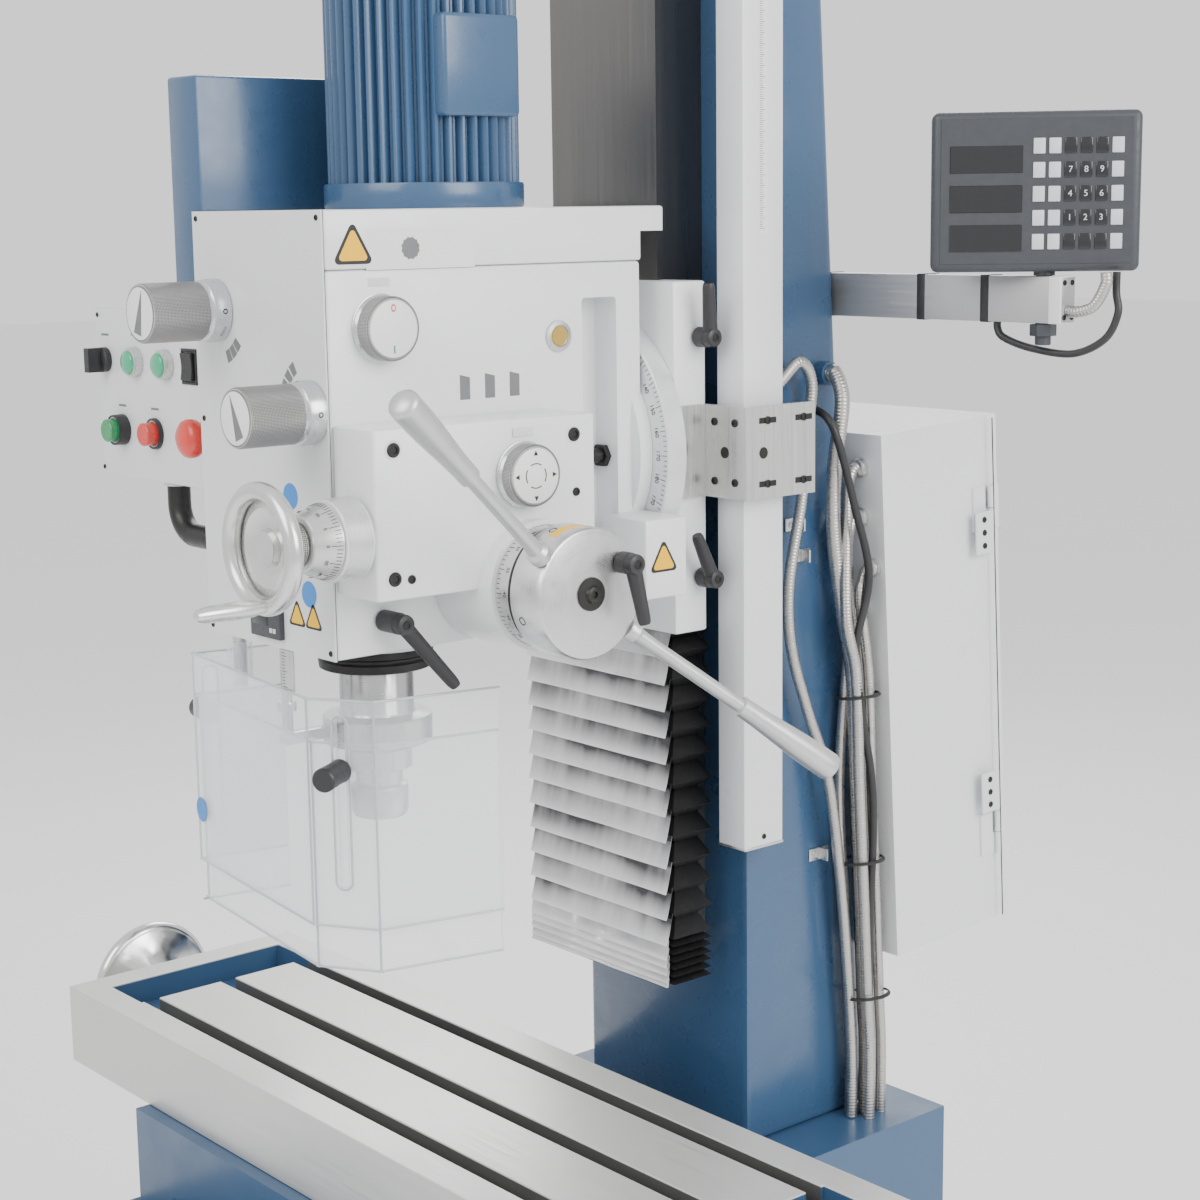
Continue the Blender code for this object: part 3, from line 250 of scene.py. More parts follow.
def mouldedFinish(name, colour, rough=0.42, metal=0.0, coat=0.0):
    # moulded plastic or blackened steel: a fine spark-eroded grain and slight sheen changes
    material, tree, shader = freshMaterial(name, Metallic=metal, Coat_Weight=coat)
    point = objectPoint(tree)
    wear = noise(tree, point, 240.0, 3.0)
    shaded(tree, shader, noise(tree, point, 90.0, 4.0), colour, 0.75, wear, (rough - 0.08, rough + 0.1))
    bumped(tree, shader, noise(tree, point, 1500.0, 2.0), 0.15, 0.0003)
    return material


def clearFinish(name, colour=(0.93, 0.96, 0.985)):
    # clear polycarbonate: see-through face on, milky where it is seen along its edge
    material, tree, shader = freshMaterial(name, Roughness=0.05, Coat_Weight=0.6, Coat_Roughness=0.02)
    point = objectPoint(tree)
    tint = toned(tree, noise(tree, point, 6.0, 3.0), [channel * 0.97 for channel in colour], colour)
    tree.links.new(tint, shader.inputs["Base Color"])
    facing = addNode(tree, "LayerWeight", {"Blend": 0.35}).outputs["Facing"]
    tree.links.new(remapped(tree, facing, (0.2, 1.0), (0.20, 0.80)), shader.inputs["Alpha"])
    bumped(tree, shader, noise(tree, point, 25.0, 2.0), 0.03, 0.001)
    return material


cover = {"open": 0.0285, "tight": 0.0085, "folds": 6, "deep": 0.022, "lean": 0.0095}


def slatFinish(name):
    # polished steel slats with a painted reflection: bright at the lower lip and darker upwards, broken by soft upright
    # streaks
    material, tree, shader = freshMaterial(name, Metallic=0.85)
    point = objectPoint(tree)
    depth = addNode(tree, "SeparateXYZ", {0: point}).outputs[1]
    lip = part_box("way_bellows")[0].y
    rise = remapped(tree, depth, (lip + 0.0012, lip + cover["lean"]), (0.0, 1.0))
    broad = noise(tree, stretched(tree, point, (6, 8, 24)), 1.0, 1.0)
    uprightStreaks = noise(tree, stretched(tree, point, (60, 8, 6)), 1.0, 2.0)
    paintedReflectionDrift = computed(tree, "SUBTRACT", plus(tree, times(tree, broad, 2.2), times(tree, uprightStreaks, 0.9)), 1.55)
    # painted reflection: the colour runs from bright steel at the lip to near black higher up, varied by the streaks
    dark = addNode(tree, "Clamp", {0: times(tree, rise, plus(tree, paintedReflectionDrift, 0.85))}).outputs[0]
    tree.links.new(toned(tree, dark, (0.86, 0.86, 0.87), (0.075, 0.075, 0.08)), shader.inputs["Base Color"])
    tree.links.new(remapped(tree, uprightStreaks, (0.3, 0.7), (0.10, 0.26)), shader.inputs["Roughness"])
    bumped(tree, shader, noise(tree, point, 14.0, 2.0), 0.35, 0.004)
    return material


white = (0.79, 0.80, 0.81)
blue = (0.036, 0.088, 0.175)
finishes = {
    "white": castFinish("whiteCasting", white),
    "sheet": paintFinish("whiteSheet", (0.74, 0.75, 0.765), 0.32),
    "plate": paintFinish("silverPlate", (0.70, 0.71, 0.72), 0.34, 0.05),
    "blue": castFinish("blueCasting", blue),
    "blueSheet": paintFinish("blueSheet", blue, 0.28),
    # the ways' ground steel is coloured dark grey-brown, its own tone darkened by painted shade
    "upright": groundFinish("scrapedWay", (0.20, 0.195, 0.19), (300, 300, 4), 0.34),
    "aluminium": groundFinish("brushedAluminium", (0.70, 0.70, 0.69), (400, 400, 12), 0.3),
    "satin": groundFinish("satinAluminium", (0.50, 0.50, 0.51), (8, 260, 260), 0.42, 0.6),
    "black": mouldedFinish("blackPlastic", (0.022, 0.022, 0.024)),
    "blackSteel": mouldedFinish("blackenedSteel", (0.035, 0.034, 0.033), 0.38, 0.6),
    "graphite": mouldedFinish("graphiteHousing", (0.045, 0.050, 0.058), 0.45),
    "conduit": groundFinish("conduitSteel", (0.52, 0.51, 0.49), (60, 60, 60), 0.33, 0.95),
    "slat": slatFinish("stainlessSlat"),
    "fold": mouldedFinish("foldedCover", (0.012, 0.012, 0.013), 0.6),
    "clear": clearFinish("clearGuard"),
    "cutEdge": mouldedFinish("milkyEdge", (0.48, 0.52, 0.55), 0.15, 0.0, 0.5),
    "ink": mouldedFinish("printedBlack", (0.015, 0.015, 0.015), 0.5),
    "paleInk": mouldedFinish("printedGrey", (0.17, 0.175, 0.18), 0.5),
    "face": paintFinish("knobFace", (0.80, 0.80, 0.79), 0.4, 0.04, 0.0),
    "yellow": paintFinish("yellowFoil", (0.90, 0.50, 0.0), 0.4, 0.04, 0.0),
    "blueFoil": paintFinish("blueFoil", (0.03, 0.22, 0.60), 0.4, 0.04, 0.0),
    "redPlastic": mouldedFinish("redPlastic", (0.72, 0.035, 0.02), 0.3, 0.0, 0.4),
    "greenPlastic": mouldedFinish("greenPlastic", (0.01, 0.30, 0.09), 0.3, 0.0, 0.4),
    "lampGlass": mouldedFinish("lampGlass", (0.02, 0.42, 0.20), 0.12, 0.0, 0.8),
    "oilGlass": mouldedFinish("oilGlass", (0.45, 0.30, 0.04), 0.12, 0.0, 0.8),
    "key": mouldedFinish("keyCap", (0.62, 0.64, 0.66), 0.5),
    "screen": mouldedFinish("displayWindow", (0.006, 0.007, 0.008), 0.15, 0.0, 0.5),
}
print("finishes ready")


def turnTo(axis):
    # the matrix that takes +Z to an axis, with a horizontal or upright side direction
    axis = Vector(axis).normalized()
    helper = Vector((0, 0, 1)) if abs(axis.z) < 0.9 else Vector((0, 1, 0))
    side = helper.cross(axis).normalized()
    return np.array((side, axis.cross(side), axis)).T


def gridFaces(rows, columns, closedAround):
    # quads between neighbouring rows and columns of a grid of points
    row = np.arange(rows - 1)[:, None] * columns
    column = np.arange(columns if closedAround else columns - 1)[None, :]
    after = (column + 1) % columns
    return np.stack(
        [row + column, row + after, row + columns + after, row + columns + column], -1
    ).reshape(-1, 4)


def lathe(profile, origin=(0, 0, 0), axis=(0, 0, 1), segments=64):
    # revolves (radius, height) points: x = r cos t, y = r sin t, z = h, then turns z to the axis
    profile = np.array(profile, float)
    angle = np.linspace(0, 2 * pi, segments, endpoint=False)
    radius, height = profile[:, 0][:, None], profile[:, 1][:, None]
    ones = np.ones_like(angle)[None, :]
    points = np.stack([radius * np.cos(angle), radius * np.sin(angle), height * ones], -1).reshape(-1, 3)
    faces = gridFaces(len(profile), segments, True)
    caps = [np.arange(segments)[::-1], np.arange(segments) + (len(profile) - 1) * segments]
    return points @ turnTo(axis).T + np.array(origin), [
        list(face) for face in faces
    ] + [list(cap) for cap in caps]


def roundBox(low, high, radius, steps=3):
    # a box with round edges: each octant of a sphere of that radius, pushed out to its own corner
    low, high = np.array(low, float), np.array(high, float)
    radius = min(radius, (high - low).min() / 2 * 0.98)
    quarter = np.linspace(0, pi / 2, steps + 1)
    around = np.concatenate([quarter + k * pi / 2 for k in range(4)])
    sideX = np.repeat([1, -1, -1, 1], steps + 1)
    sideY = np.repeat([1, 1, -1, -1], steps + 1)
    down = np.concatenate([quarter, quarter + pi / 2])
    sideZ = np.repeat([1, -1], steps + 1)
    half = (high - low) / 2 - radius
    sphere = np.stack(
        [
            np.sin(down)[:, None] * np.cos(around), np.sin(down)[:, None] * np.sin(around),
            np.cos(down)[:, None] * np.ones(len(around))
        ],
        -1
    )
    corner = np.stack(
        np.broadcast_arrays(
            sideX[None, :] * half[0], sideY[None, :] * half[1], sideZ[:, None] * half[2]
        ),
        -1
    )
    points = (sphere * radius + corner).reshape(-1, 3) + (low + high) / 2
    columns = len(around)
    faces = [list(face[::-1]) for face in gridFaces(len(down), columns, True)]
    return points, faces + [
        list(np.arange(columns)), list(np.arange(columns)[::-1] + (len(down) - 1) * columns)
    ]


def sweep(path, radii, sides=14, squash=None):
    # a ring carried along a path: point = path + r (cos t u + sin t v), with u and v carried without twist
    path = np.array(path, float)
    radii = np.broadcast_to(np.array(radii, float), len(path))
    tangent = np.gradient(path, axis=0)
    tangent /= np.linalg.norm(tangent, axis=1)[:, None]
    side = np.zeros_like(path)
    side[0] = np.array(Vector(tangent[0]).orthogonal().normalized())
    for index in range(1, len(path)):
        step = side[index - 1] - tangent[index] * np.dot(side[index - 1], tangent[index])
        side[index] = step / np.linalg.norm(step)
    other = np.cross(tangent, side)
    angle = np.linspace(0, 2 * pi, sides, endpoint=False)
    wide, tall = squash or (1.0, 1.0)
    ring = side[:, None] * (
        np.cos(angle) * wide
    )[None, :, None] + other[:, None] * (np.sin(angle) * tall)[None, :, None]
    points = (path[:, None] + ring * radii[:, None, None]).reshape(-1, 3)
    faces = [list(face) for face in gridFaces(len(path), sides, True)]
    return points, faces + [list(np.arange(sides)[::-1]), list(np.arange(sides) + (len(path) - 1) * sides)]


def smoothPath(points, spacing):
    # even points on a Catmull-Rom curve through the given ones
    points = np.array(points, float)
    padded = np.concatenate([[2 * points[0] - points[1]], points, [2 * points[-1] - points[-2]]])
    pieces = []
    for index in range(len(points) - 1):
        a, b, c, d = padded[index:index + 4]
        t = np.linspace(0, 1, 24, endpoint=False)[:, None]
        pieces.append(
            b + (
                (c - a) * t + (2 * a - 5 * b + 4 * c - d) * t ** 2 + (3 * b - a - 3 * c + d) * t ** 3
            ) / 2
        )
    dense = np.concatenate(pieces + [points[-1:]])
    length = np.concatenate([[0], np.cumsum(np.linalg.norm(np.diff(dense, axis=0), axis=1))])
    even = np.linspace(0, length[-1], max(3, int(length[-1] / spacing)))
    return np.stack([np.interp(even, length, dense[:, k]) for k in range(3)], -1)


def plateOf(outline, low, high, origin=(0, 0, 0), axis=(0, 0, 1), roll=0.0):
    # a flat outline given a thickness along an axis
    outline = np.array(outline, float)
    turn = np.array([[cos(roll), -sin(roll)], [sin(roll), cos(roll)]])
    outline = outline @ turn.T
    count = len(outline)
    points = np.concatenate(
        [
            np.column_stack([outline, np.full(count, low)]),
            np.column_stack([outline, np.full(count, high)])
        ]
    )
    faces = [[k, (k + 1) % count, count + (k + 1) % count, count + k] for k in range(count)]
    faces += [list(range(count))[::-1], list(range(count, 2 * count))]
    return points @ turnTo(axis).T + np.array(origin), faces


def merged(parts):
    # joins shapes into one, with each face's corners counted on from the shape before
    points, faces, start = [], [], 0
    for partPoints, partFaces in parts:
        points.append(partPoints)
        faces += [[corner + start for corner in face] for face in partFaces]
        start += len(partPoints)
    return np.concatenate(points), faces


def ringOf(profile, origin, axis, segments):
    # a closed profile revolved into a ring, so it has no end caps
    return lathe(profile, origin, axis, segments)[0], gridFaces(len(profile), segments, True).tolist()


def weld(mesh, outwards):
    # merges doubled corners, and turns the faces outwards where that is asked for
    bm = bmesh.new()
    bm.from_mesh(mesh)
    bmesh.ops.remove_doubles(bm, verts=bm.verts, dist=1e-6)
    if outwards:
        bmesh.ops.recalc_face_normals(bm, faces=bm.faces)
    bm.to_mesh(mesh)
    bm.free()


def makePiece(name, shape, finish, body, stands=(), bevel=0.0, angle=35):
    # builds the mesh, closes its seams, and lets it ride on a body; it may stand for CAD nodes
    points, faces = merged(shape) if isinstance(shape, list) else shape
    mesh = bpy.data.meshes.new(name)
    mesh.from_pydata(points.tolist(), [], [[int(corner) for corner in face] for face in faces])
    weld(mesh, True)
    mesh.shade_smooth()
    mesh.set_sharp_from_angle(angle=radians(angle))
    return adopt(name, mesh, finish, body, stands, bevel)


def adopt(name, mesh, finish, body, stands=(), bevel=0.0):
    piece = bpy.data.objects.new(name, mesh)
    bpy.context.scene.collection.objects.link(piece)
    mesh.materials.clear()
    mesh.materials.append(finishes[finish] if isinstance(finish, str) else finish)
    if bevel:
        edge = piece.modifiers.new("edge", "BEVEL")
        edge.width = bevel
        edge.segments = 3
        edge.limit_method = "ANGLE"
        edge.angle_limit = radians(40)
        edge.harden_normals = True
    if body:
        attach(piece, body)
    for node in stands:
        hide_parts(node)
        shown.add(node)
    return piece


def standFor(node, shape, finish, **options):
    return makePiece(node + "Fine", shape, finish, bodyOf[node], (node,), **options)


def softened(node, finish, bevel=0.0, angle=42):
    # a copy of a casting or a sheet part with its corners merged, smooth across its round edges
    mesh = frame["nodes"][node].data.copy()
    weld(mesh, False)
    for name in ("custom_normal", "sharp_edge", "sharp_face"):
        if name in mesh.attributes:
            mesh.attributes.remove(mesh.attributes[name])
    mesh.shade_smooth()
    mesh.set_sharp_from_angle(angle=radians(angle))
    return adopt(node + "Skin", mesh, finish, bodyOf[node], (node,), bevel)


def seatOf(node, axis):
    # where a turned node starts on its axis, and how long it is, read from the CAD box
    low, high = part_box(node)
    middle = (low + high) / 2
    axis = Vector(axis)
    reach = sum(abs(axis[k]) * (high[k] - low[k]) for k in range(3)) / 2
    return middle - axis * reach, 2 * reach


def screwHead(spot, axis, radius, proud=0.0):
    # a socket head: a raised rim with a chamfer round a flat-bottomed recess
    rim, floor, top = radius * 0.18, proud + radius * 0.10, proud + radius * 0.30
    head = [(0.0002, proud - 0.0002), (radius, proud - 0.0002), (radius, proud + rim)]
    head += [(radius * 0.90, top), (radius * 0.55, top), (radius * 0.50, floor), (0.0002, floor)]
    return lathe(head, spot, axis, 24)


castings = {
    "base": "blue", "saddle": "blue", "column": "blueSheet", "column_cap": "blueSheet", "column_way": "upright",
    "scale_housing": "sheet", "cabinet": "sheet", "cabinet_door": "sheet", "readout_bracket": "blackSteel",
    "readout_arm": "satin", "carriage": "white", "scale_bracket": "aluminium", "head": "white", "top_cover": "white",
    "front_plate": "plate", "feed_box": "white", "switch_box": "white", "side_box": "blueSheet", "control_panel": "plate",
    "guard_post": "aluminium", "guard_upper": "clear", "guard_lower": "clear", "mode_selector": "black",
}
for node, finish in castings.items():
    softened(node, finish)


def tableFinish():
    # the top is ground iron, its two end troughs are blue, and the insides of its slots carry painted shade
    material = groundFinish("tableTop", (0.66, 0.66, 0.64), (8, 900, 300), 0.36, 0.55)
    tree = material.node_tree
    shader = tree.nodes["Principled BSDF"]
    low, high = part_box("table")
    split = addNode(tree, "SeparateXYZ", {0: objectPoint(tree)}).outputs
    lip = 0.0335
    reach = (high.x - low.x) / 2
    across = computed(tree, "ABSOLUTE", computed(tree, "SUBTRACT", split[0], (low.x + high.x) / 2))
    side = computed(tree, "ABSOLUTE", computed(tree, "SUBTRACT", split[1], (low.y + high.y) / 2))
    outer = computed(tree, "LESS_THAN", across, reach - lip)
    inner = computed(tree, "GREATER_THAN", across, reach - lip - 0.066)
    deep = computed(tree, "LESS_THAN", split[2], high.z - 0.0015)
    sunk = times(tree, deep, computed(tree, "LESS_THAN", side, (high.y - low.y) / 2 - lip))
    trough = times(tree, times(tree, outer, inner), sunk)
    before = shader.inputs["Base Color"].links[0].from_socket
    # painted shade: everything sunk below the top inside the rims is coloured dark grey
    slots = {0: times(tree, outer, sunk), 6: before, 7: (0.16, 0.16, 0.155, 1)}
    slotPaintedShade = addNode(tree, "Mix", slots, data_type="RGBA").outputs[2]
    painted = addNode(tree, "Mix", {0: trough, 6: slotPaintedShade, 7: (*blue, 1)}, data_type="RGBA").outputs[2]
    tree.links.new(painted, shader.inputs["Base Color"])
    tree.links.new(remapped(tree, trough, (0.0, 1.0), (0.55, 0.0)), shader.inputs["Metallic"])
    return material


softened("table", tableFinish(), 0.0012)
print("castings dressed")


motor = {"fins": 44, "deep": 0.0085, "cowl": 0.058, "foot": 0.024}


def motorParts(radius, length, spot):
    # a foot ring, a barrel whose outline rises into square fins, and a cowl with a domed end over the fan
    foot, cowl, fins = motor["foot"], motor["cowl"], motor["fins"]
    angle = np.linspace(0, 2 * pi, fins * 6, endpoint=False)
    raised = np.array([0.0, 0.0, 0.75, 1.0, 1.0, 0.75])
    reach = radius * 0.955 - motor["deep"] * (1 - np.tile(raised, fins))
    outline = np.column_stack([reach * np.cos(angle), reach * np.sin(angle)])
    ring = [
        (0.0005, 0), (radius * 0.99, 0), (radius, 0.002), (radius, foot - 0.002), (radius * 0.99, foot),
        (0.0005, foot)
    ]
    start = length - cowl
    dome = [(0.0005, start), (radius * 0.985, start), (radius, start + 0.0015), (radius, length - 0.014)]
    dome += [
        (
            radius - 0.010 * (1 - cos(a)), length - 0.014 + 0.013 * sin(a)
        ) for a in np.linspace(0.25, pi / 2, 7)
    ]
    slots = [
        (
            radius * share, length - 0.0010 - 0.0022 * (k % 2)
        ) for share in (0.80, 0.74, 0.68, 0.62, 0.56, 0.50) for k in (0, 1)
    ]
    dome += slots + [(0.0005, length - 0.0010)]
    return [
        lathe(ring, spot, (0, 0, 1), 96), plateOf(outline, foot, start, spot),
        lathe(dome, spot, (0, 0, 1), 96)
    ]


def dressMotors():
    seat, length = seatOf("spindle_motor", (0, 0, 1))
    parts = motorParts(0.0985, length, seat)
    parts.append(
        roundBox(
            (seat.x + 0.070, seat.y - 0.045, seat.z + 0.085),
            (seat.x + 0.0995, seat.y + 0.045, seat.z + 0.180), 0.005
        )
    )
    standFor("spindle_motor", merged(parts), "blueSheet", angle=30)
    low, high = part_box("z_motor")
    centre = (low + high) / 2
    parts = [roundBox(low, (high.x, high.y, low.z + 0.09), 0.006)]
    parts += motorParts(0.0495, high.z - low.z - 0.09, (centre.x, centre.y, low.z + 0.09))
    standFor("z_motor", merged(parts), "blueSheet", angle=30)


knobs = {
    "speed_knob_left": {"length": 0.083, "foot": 0.018, "teeth": 64, "pitch": 0.0030, "mark": "pointer", "turn": -0.25},
    "speed_knob_right": {"length": 0.080, "foot": 0.018, "teeth": 64, "pitch": 0.0030, "mark": "pointer", "turn": 0.35},
    "gear_knob": {"length": 0.022, "foot": 0.002, "teeth": 72, "pitch": 0.0040, "mark": "dots"},
    "feed_knob": {"length": 0.020, "foot": 0.002, "teeth": 72, "pitch": 0.0040, "mark": "arrows"},
}


def markKnob(node, plan, r, face, axis):
    # a pointer, a red dot over a green bar, or four curved arrows, as shares of the face's radius
    def printed(outline, low=0.0003, high=0.0006, roll=0.0):
        return plateOf(np.array(outline) * r, low, high, face, axis, roll)
    if plan["mark"] == "pointer":
        marks = printed([(-0.30, -0.88), (0.30, -0.88), (0, 1)], roll=plan["turn"])
        makePiece(node + "Mark", marks, "paleInk", node)
    elif plan["mark"] == "dots":
        ring = np.array([(cos(a) * 0.11, sin(a) * 0.15) for a in np.linspace(0, 2 * pi, 20, endpoint=False)])
        makePiece(node + "Red", printed(ring + (0, 0.78), 0.0003, 0.0005), "redPlastic", node)
        makePiece(node + "Core", printed(ring * 0.6 + (0, 0.78), 0.0005, 0.0006), "face", node)
        bar = [(-0.03, -0.92), (0.03, -0.92), (0.03, -0.62), (-0.03, -0.62)]
        makePiece(node + "Green", printed(bar), "greenPlastic", node)
    else:
        marks = []
        for quarter in range(4):
            marks.append(printed([(-0.10, 0.80), (0.10, 0.80), (0, 1)], roll=quarter * pi / 2))
            t = np.linspace(-0.55, 0.55, 14) + quarter * pi / 2
            marks.append(printed([(sin(a) * 0.50, cos(a) * 0.50) for a in t]
                                 + [(sin(a) * 0.46, cos(a) * 0.46) for a in t[::-1]]))
        makePiece(node + "Mark", marks, "ink", node)


def dressKnobs():
    for node, plan in knobs.items():
        axis = Vector(jointOf[node]["axis"]).normalized()
        low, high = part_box(node)
        seat = Vector(jointOf[node]["pos_m"]) + axis * 0.0004
        length, foot = plan["length"], plan["foot"]
        radius = (high.z - low.z) / 2 - 0.0022
        start = foot + 0.0035
        grip = [
            (0.0004, start), (radius - 0.0012, start), (radius, start + 0.0012),
            (radius, length - 0.0028)
        ]
        grip += [(radius - 0.0008, length - 0.0009), (radius - 0.0028, length), (0.0004, length)]
        knurled = knurlFinish(node + "Knurl", seat, axis, plan["teeth"], plan["pitch"])
        makePiece(node + "Grip", lathe(grip, seat, axis, 96), knurled, node)
        wide, tight = radius + 0.0019, radius + 0.0012
        flange = [(0.0004, 0), (radius + 0.0014, 0), (wide, 0.0006), (wide, foot * 0.6), (tight, foot * 0.7)]
        flange += [(tight, foot), (radius - 0.0004, foot + 0.0016), (radius - 0.0014, start + 0.0004)]
        flange += [(0.0004, start + 0.0004)]
        smooth = turnedFinish(node + "Flange", seat, axis, (0.66, 0.67, 0.68), 0.24, 0.85)
        standFor(node, lathe(flange, seat, axis, 96), smooth)
        if foot > 0.01:
            spot = seat + axis * (foot * 0.45) + Vector((radius + 0.0012, 0, 0))
            makePiece(node + "SetScrew", screwHead(spot, right, 0.0028), "blackSteel", node)
        face = seat + axis * length
        rim = [(0.0004, -0.0002), (radius - 0.0038, -0.0002), (radius - 0.0036, 0.0001)]
        rim += [(radius - 0.0040, 0.0003), (0.0004, 0.0003)]
        makePiece(node + "Face", lathe(rim, face, axis, 64), "face", node)
        markKnob(node, plan, radius - 0.0055, face, axis)


dressMotors()
dressKnobs()
print("motors and knobs dressed")


def tickRing(origin, axis, count, rim, foot, width, longEvery=5, share=0.55, start=0.0, sweepAngle=2 * pi):
    # thin raised strips between two circles (radius, height): on a cylinder, a cone or a flat ring
    rim, foot = np.array(rim, float), np.array(foot, float)
    angle = start + np.arange(count) / count * sweepAngle
    reach = np.where(np.arange(count) % longEvery == 0, 1.0, share)[:, None]
    far = rim + (foot - rim) * reach
    near = np.broadcast_to(rim, far.shape)
    slope = (foot - rim) / np.linalg.norm(foot - rim)
    out = np.array([-slope[1], slope[0]])
    out = out if out.sum() > 0 else -out
    def corner(point, side, lift):
        radial = point[:, 0] + out[0] * lift
        x = radial * np.cos(angle) - side * np.sin(angle)
        y = radial * np.sin(angle) + side * np.cos(angle)
        return np.column_stack([x, y, point[:, 1] + out[1] * lift])
    half = width / 2
    stack = [
        corner(p, s, l) for l in (-0.0003, 0.00012) for p,
        s in ((near, -half), (near, half), (far, half), (far, -half))
    ]
    points = np.stack(stack, 1).reshape(-1, 3)
    block = np.array([[0, 3, 2, 1], [4, 5, 6, 7], [0, 1, 5, 4], [1, 2, 6, 5], [2, 3, 7, 6], [3, 0, 4, 7]])
    faces = (np.arange(count)[:, None, None] * 8 + block[None]).reshape(-1, 4)
    return points @ turnTo(axis).T + np.array(origin), faces.tolist()


def letters(text, size, depth=0.00015):
    # a text as a flat mesh centred on its own middle, as points and faces
    curve = bpy.data.curves.new("figure", "FONT")
    curve.body = text
    curve.size = size
    curve.extrude = depth
    curve.align_x = "CENTER"
    curve.align_y = "CENTER"
    holder = bpy.data.objects.new("figure", curve)
    bpy.context.scene.collection.objects.link(holder)
    bpy.context.view_layer.update()
    mesh = bpy.data.meshes.new_from_object(holder.evaluated_get(bpy.context.evaluated_depsgraph_get()))
    points = np.array([vertex.co[:] for vertex in mesh.vertices])
    faces = [list(face.vertices) for face in mesh.polygons]
    bpy.data.objects.remove(holder)
    bpy.data.meshes.remove(mesh)
    return points, faces


def numberRing(origin, axis, radius, height, figures, size, flat, start=0.0, sweepAngle=2 * pi):
    # figures round a dial: standing on the cylinder's side, or lying on its flat face with tops outwards
    parts = []
    for index, text in enumerate(figures):
        angle = start + index / len(figures) * sweepAngle
        points, faces = letters(text, size)
        radial = np.array([cos(angle), sin(angle), 0])
        around = np.array([-sin(angle), cos(angle), 0])
        if flat:
            placed = radial * (
                radius + points[:, 1:2]
            ) - around * points[:, 0:1] + np.array(up) * (height + points[:, 2:3])
        else:
            placed = radial * (
                radius + points[:, 2:3]
            ) + around * points[:, 0:1] + np.array(up) * (height + points[:, 1:2])
        parts.append((placed @ turnTo(axis).T + np.array(origin), faces))
    return merged(parts)


disc = {
    "bevel": 0.0015, "ticks": 180, "tickEnds": (0.0022, 0.0105), "proud": 0.0002, "figureIn": 0.0158,
    "figures": [str(abs(10 * k)) for k in range(-17, 19)],
}


def dressDisc():
    seat, length = seatOf("swivel_disc", ahead)
    low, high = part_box("swivel_disc")
    radius = (high.z - low.z) / 2
    b = disc["bevel"]
    profile = [
        (0.0005, 0), (radius - b, 0), (radius, b), (radius, length - b), (radius - b, length),
        (0.0005, length)
    ]
    metal = turnedFinish("discFace", seat, (0, 1, 0), (0.78, 0.79, 0.80), 0.34, 0.35)
    standFor("swivel_disc", lathe(profile, seat, ahead, 160), metal)
    face = seat + Vector(ahead) * length
    rim, foot = [(radius - inset, disc["proud"]) for inset in disc["tickEnds"]]
    makePiece("discTicks", tickRing(face, ahead, disc["ticks"], rim, foot, 0.0006), "ink", "carriage")
    row = numberRing(face, ahead, radius - disc["figureIn"], disc["proud"], disc["figures"], 0.0075, True)
    makePiece("discFigures", row, "ink", "carriage")


hub = {"dial": (0.002, 0.019), "ticks": 80, "figures": [str(5 * k) for k in range(16)]}


def dressHub():
    axis = (1, 0, 0)
    seat, length = seatOf("feed_hub", axis)
    steel = turnedFinish("hubSteel", seat, axis, (0.70, 0.70, 0.70), 0.28, 0.85)
    dialShape = [
        (0.0005, 0), (0.0565, 0), (0.058, 0.0012), (0.058, 0.0195), (0.0572, 0.0203), (0.0555, 0.0205)
    ]
    grip = [
        (0.0555, 0.0255), (0.0598, 0.0256), (0.0618, 0.0275), (0.0618, length - 0.004),
        (0.0600, length - 0.0008), (0.0580, length), (0.0005, length)
    ]
    standFor("feed_hub", lathe(dialShape + grip, seat, axis, 128), steel)
    makePiece(
        "hubTicks", tickRing(seat, axis, hub["ticks"], (0.058, hub["dial"][0]), (0.058, 0.0095), 0.0007),
        "ink", "feed_handle"
    )
    makePiece(
        "hubFigures", numberRing(seat, axis, 0.0580, 0.0140, hub["figures"], 0.0058, False), "ink",
        "feed_handle"
    )
    groove = [(0.0550, 0.0207), (0.0592, 0.0207), (0.0592, 0.0253), (0.0550, 0.0253)]
    makePiece("hubGroove", lathe(groove, seat, axis, 96), "blackSteel", "feed_handle")
    front = seat + Vector((length, 0, 0))
    cap = [
        (0.0005, 0), (0.0150, 0), (0.0158, 0.0010), (0.0155, 0.0022), (0.0085, 0.0030), (0.0070, 0.0058),
        (0.0048, 0.0066), (0.0032, 0.0066), (0.0028, 0.0046), (0.0005, 0.0046)
    ]
    makePiece("hubCap", lathe(cap, front, axis, 48), "blackSteel", "feed_handle")
    dents = []
    for turn in (0.35, 1.9, 3.5, 5.1):
        out = Vector((0, cos(turn), sin(turn)))
        spot = seat + Vector((0.040, 0, 0)) + out * 0.0614
        dents.append(
            lathe(
                [
                    (0.0002, 0), (0.0042, 0), (0.0042, 0.0007), (0.0034, 0.0007), (0.0030, 0.0003),
                    (0.0002, 0.0003)
                ],
                spot, out, 24
            )
        )
    makePiece("hubSetScrews", merged(dents), "blackSteel", "feed_handle")
    arc = np.linspace(1.25, 2.05, 18)
    strip = [(0.0620 * cos(a), 0.0620 * sin(a)) for a in arc] + [
        (0.0617 * cos(a), 0.0617 * sin(a)) for a in arc[::-1]
    ]
    points, faces = plateOf(strip, 0.0, 0.012)
    placed = np.column_stack([points[:, 2] + seat.x + 0.043, points[:, 0] + seat.y, points[:, 1] + seat.z])
    makePiece("hubYellowMark", (placed, faces), "yellow", "feed_handle")


spoke = {"tilt": radians(16), "turn": radians(142), "length": 0.335, "grip": 0.125, "at": 0.042}


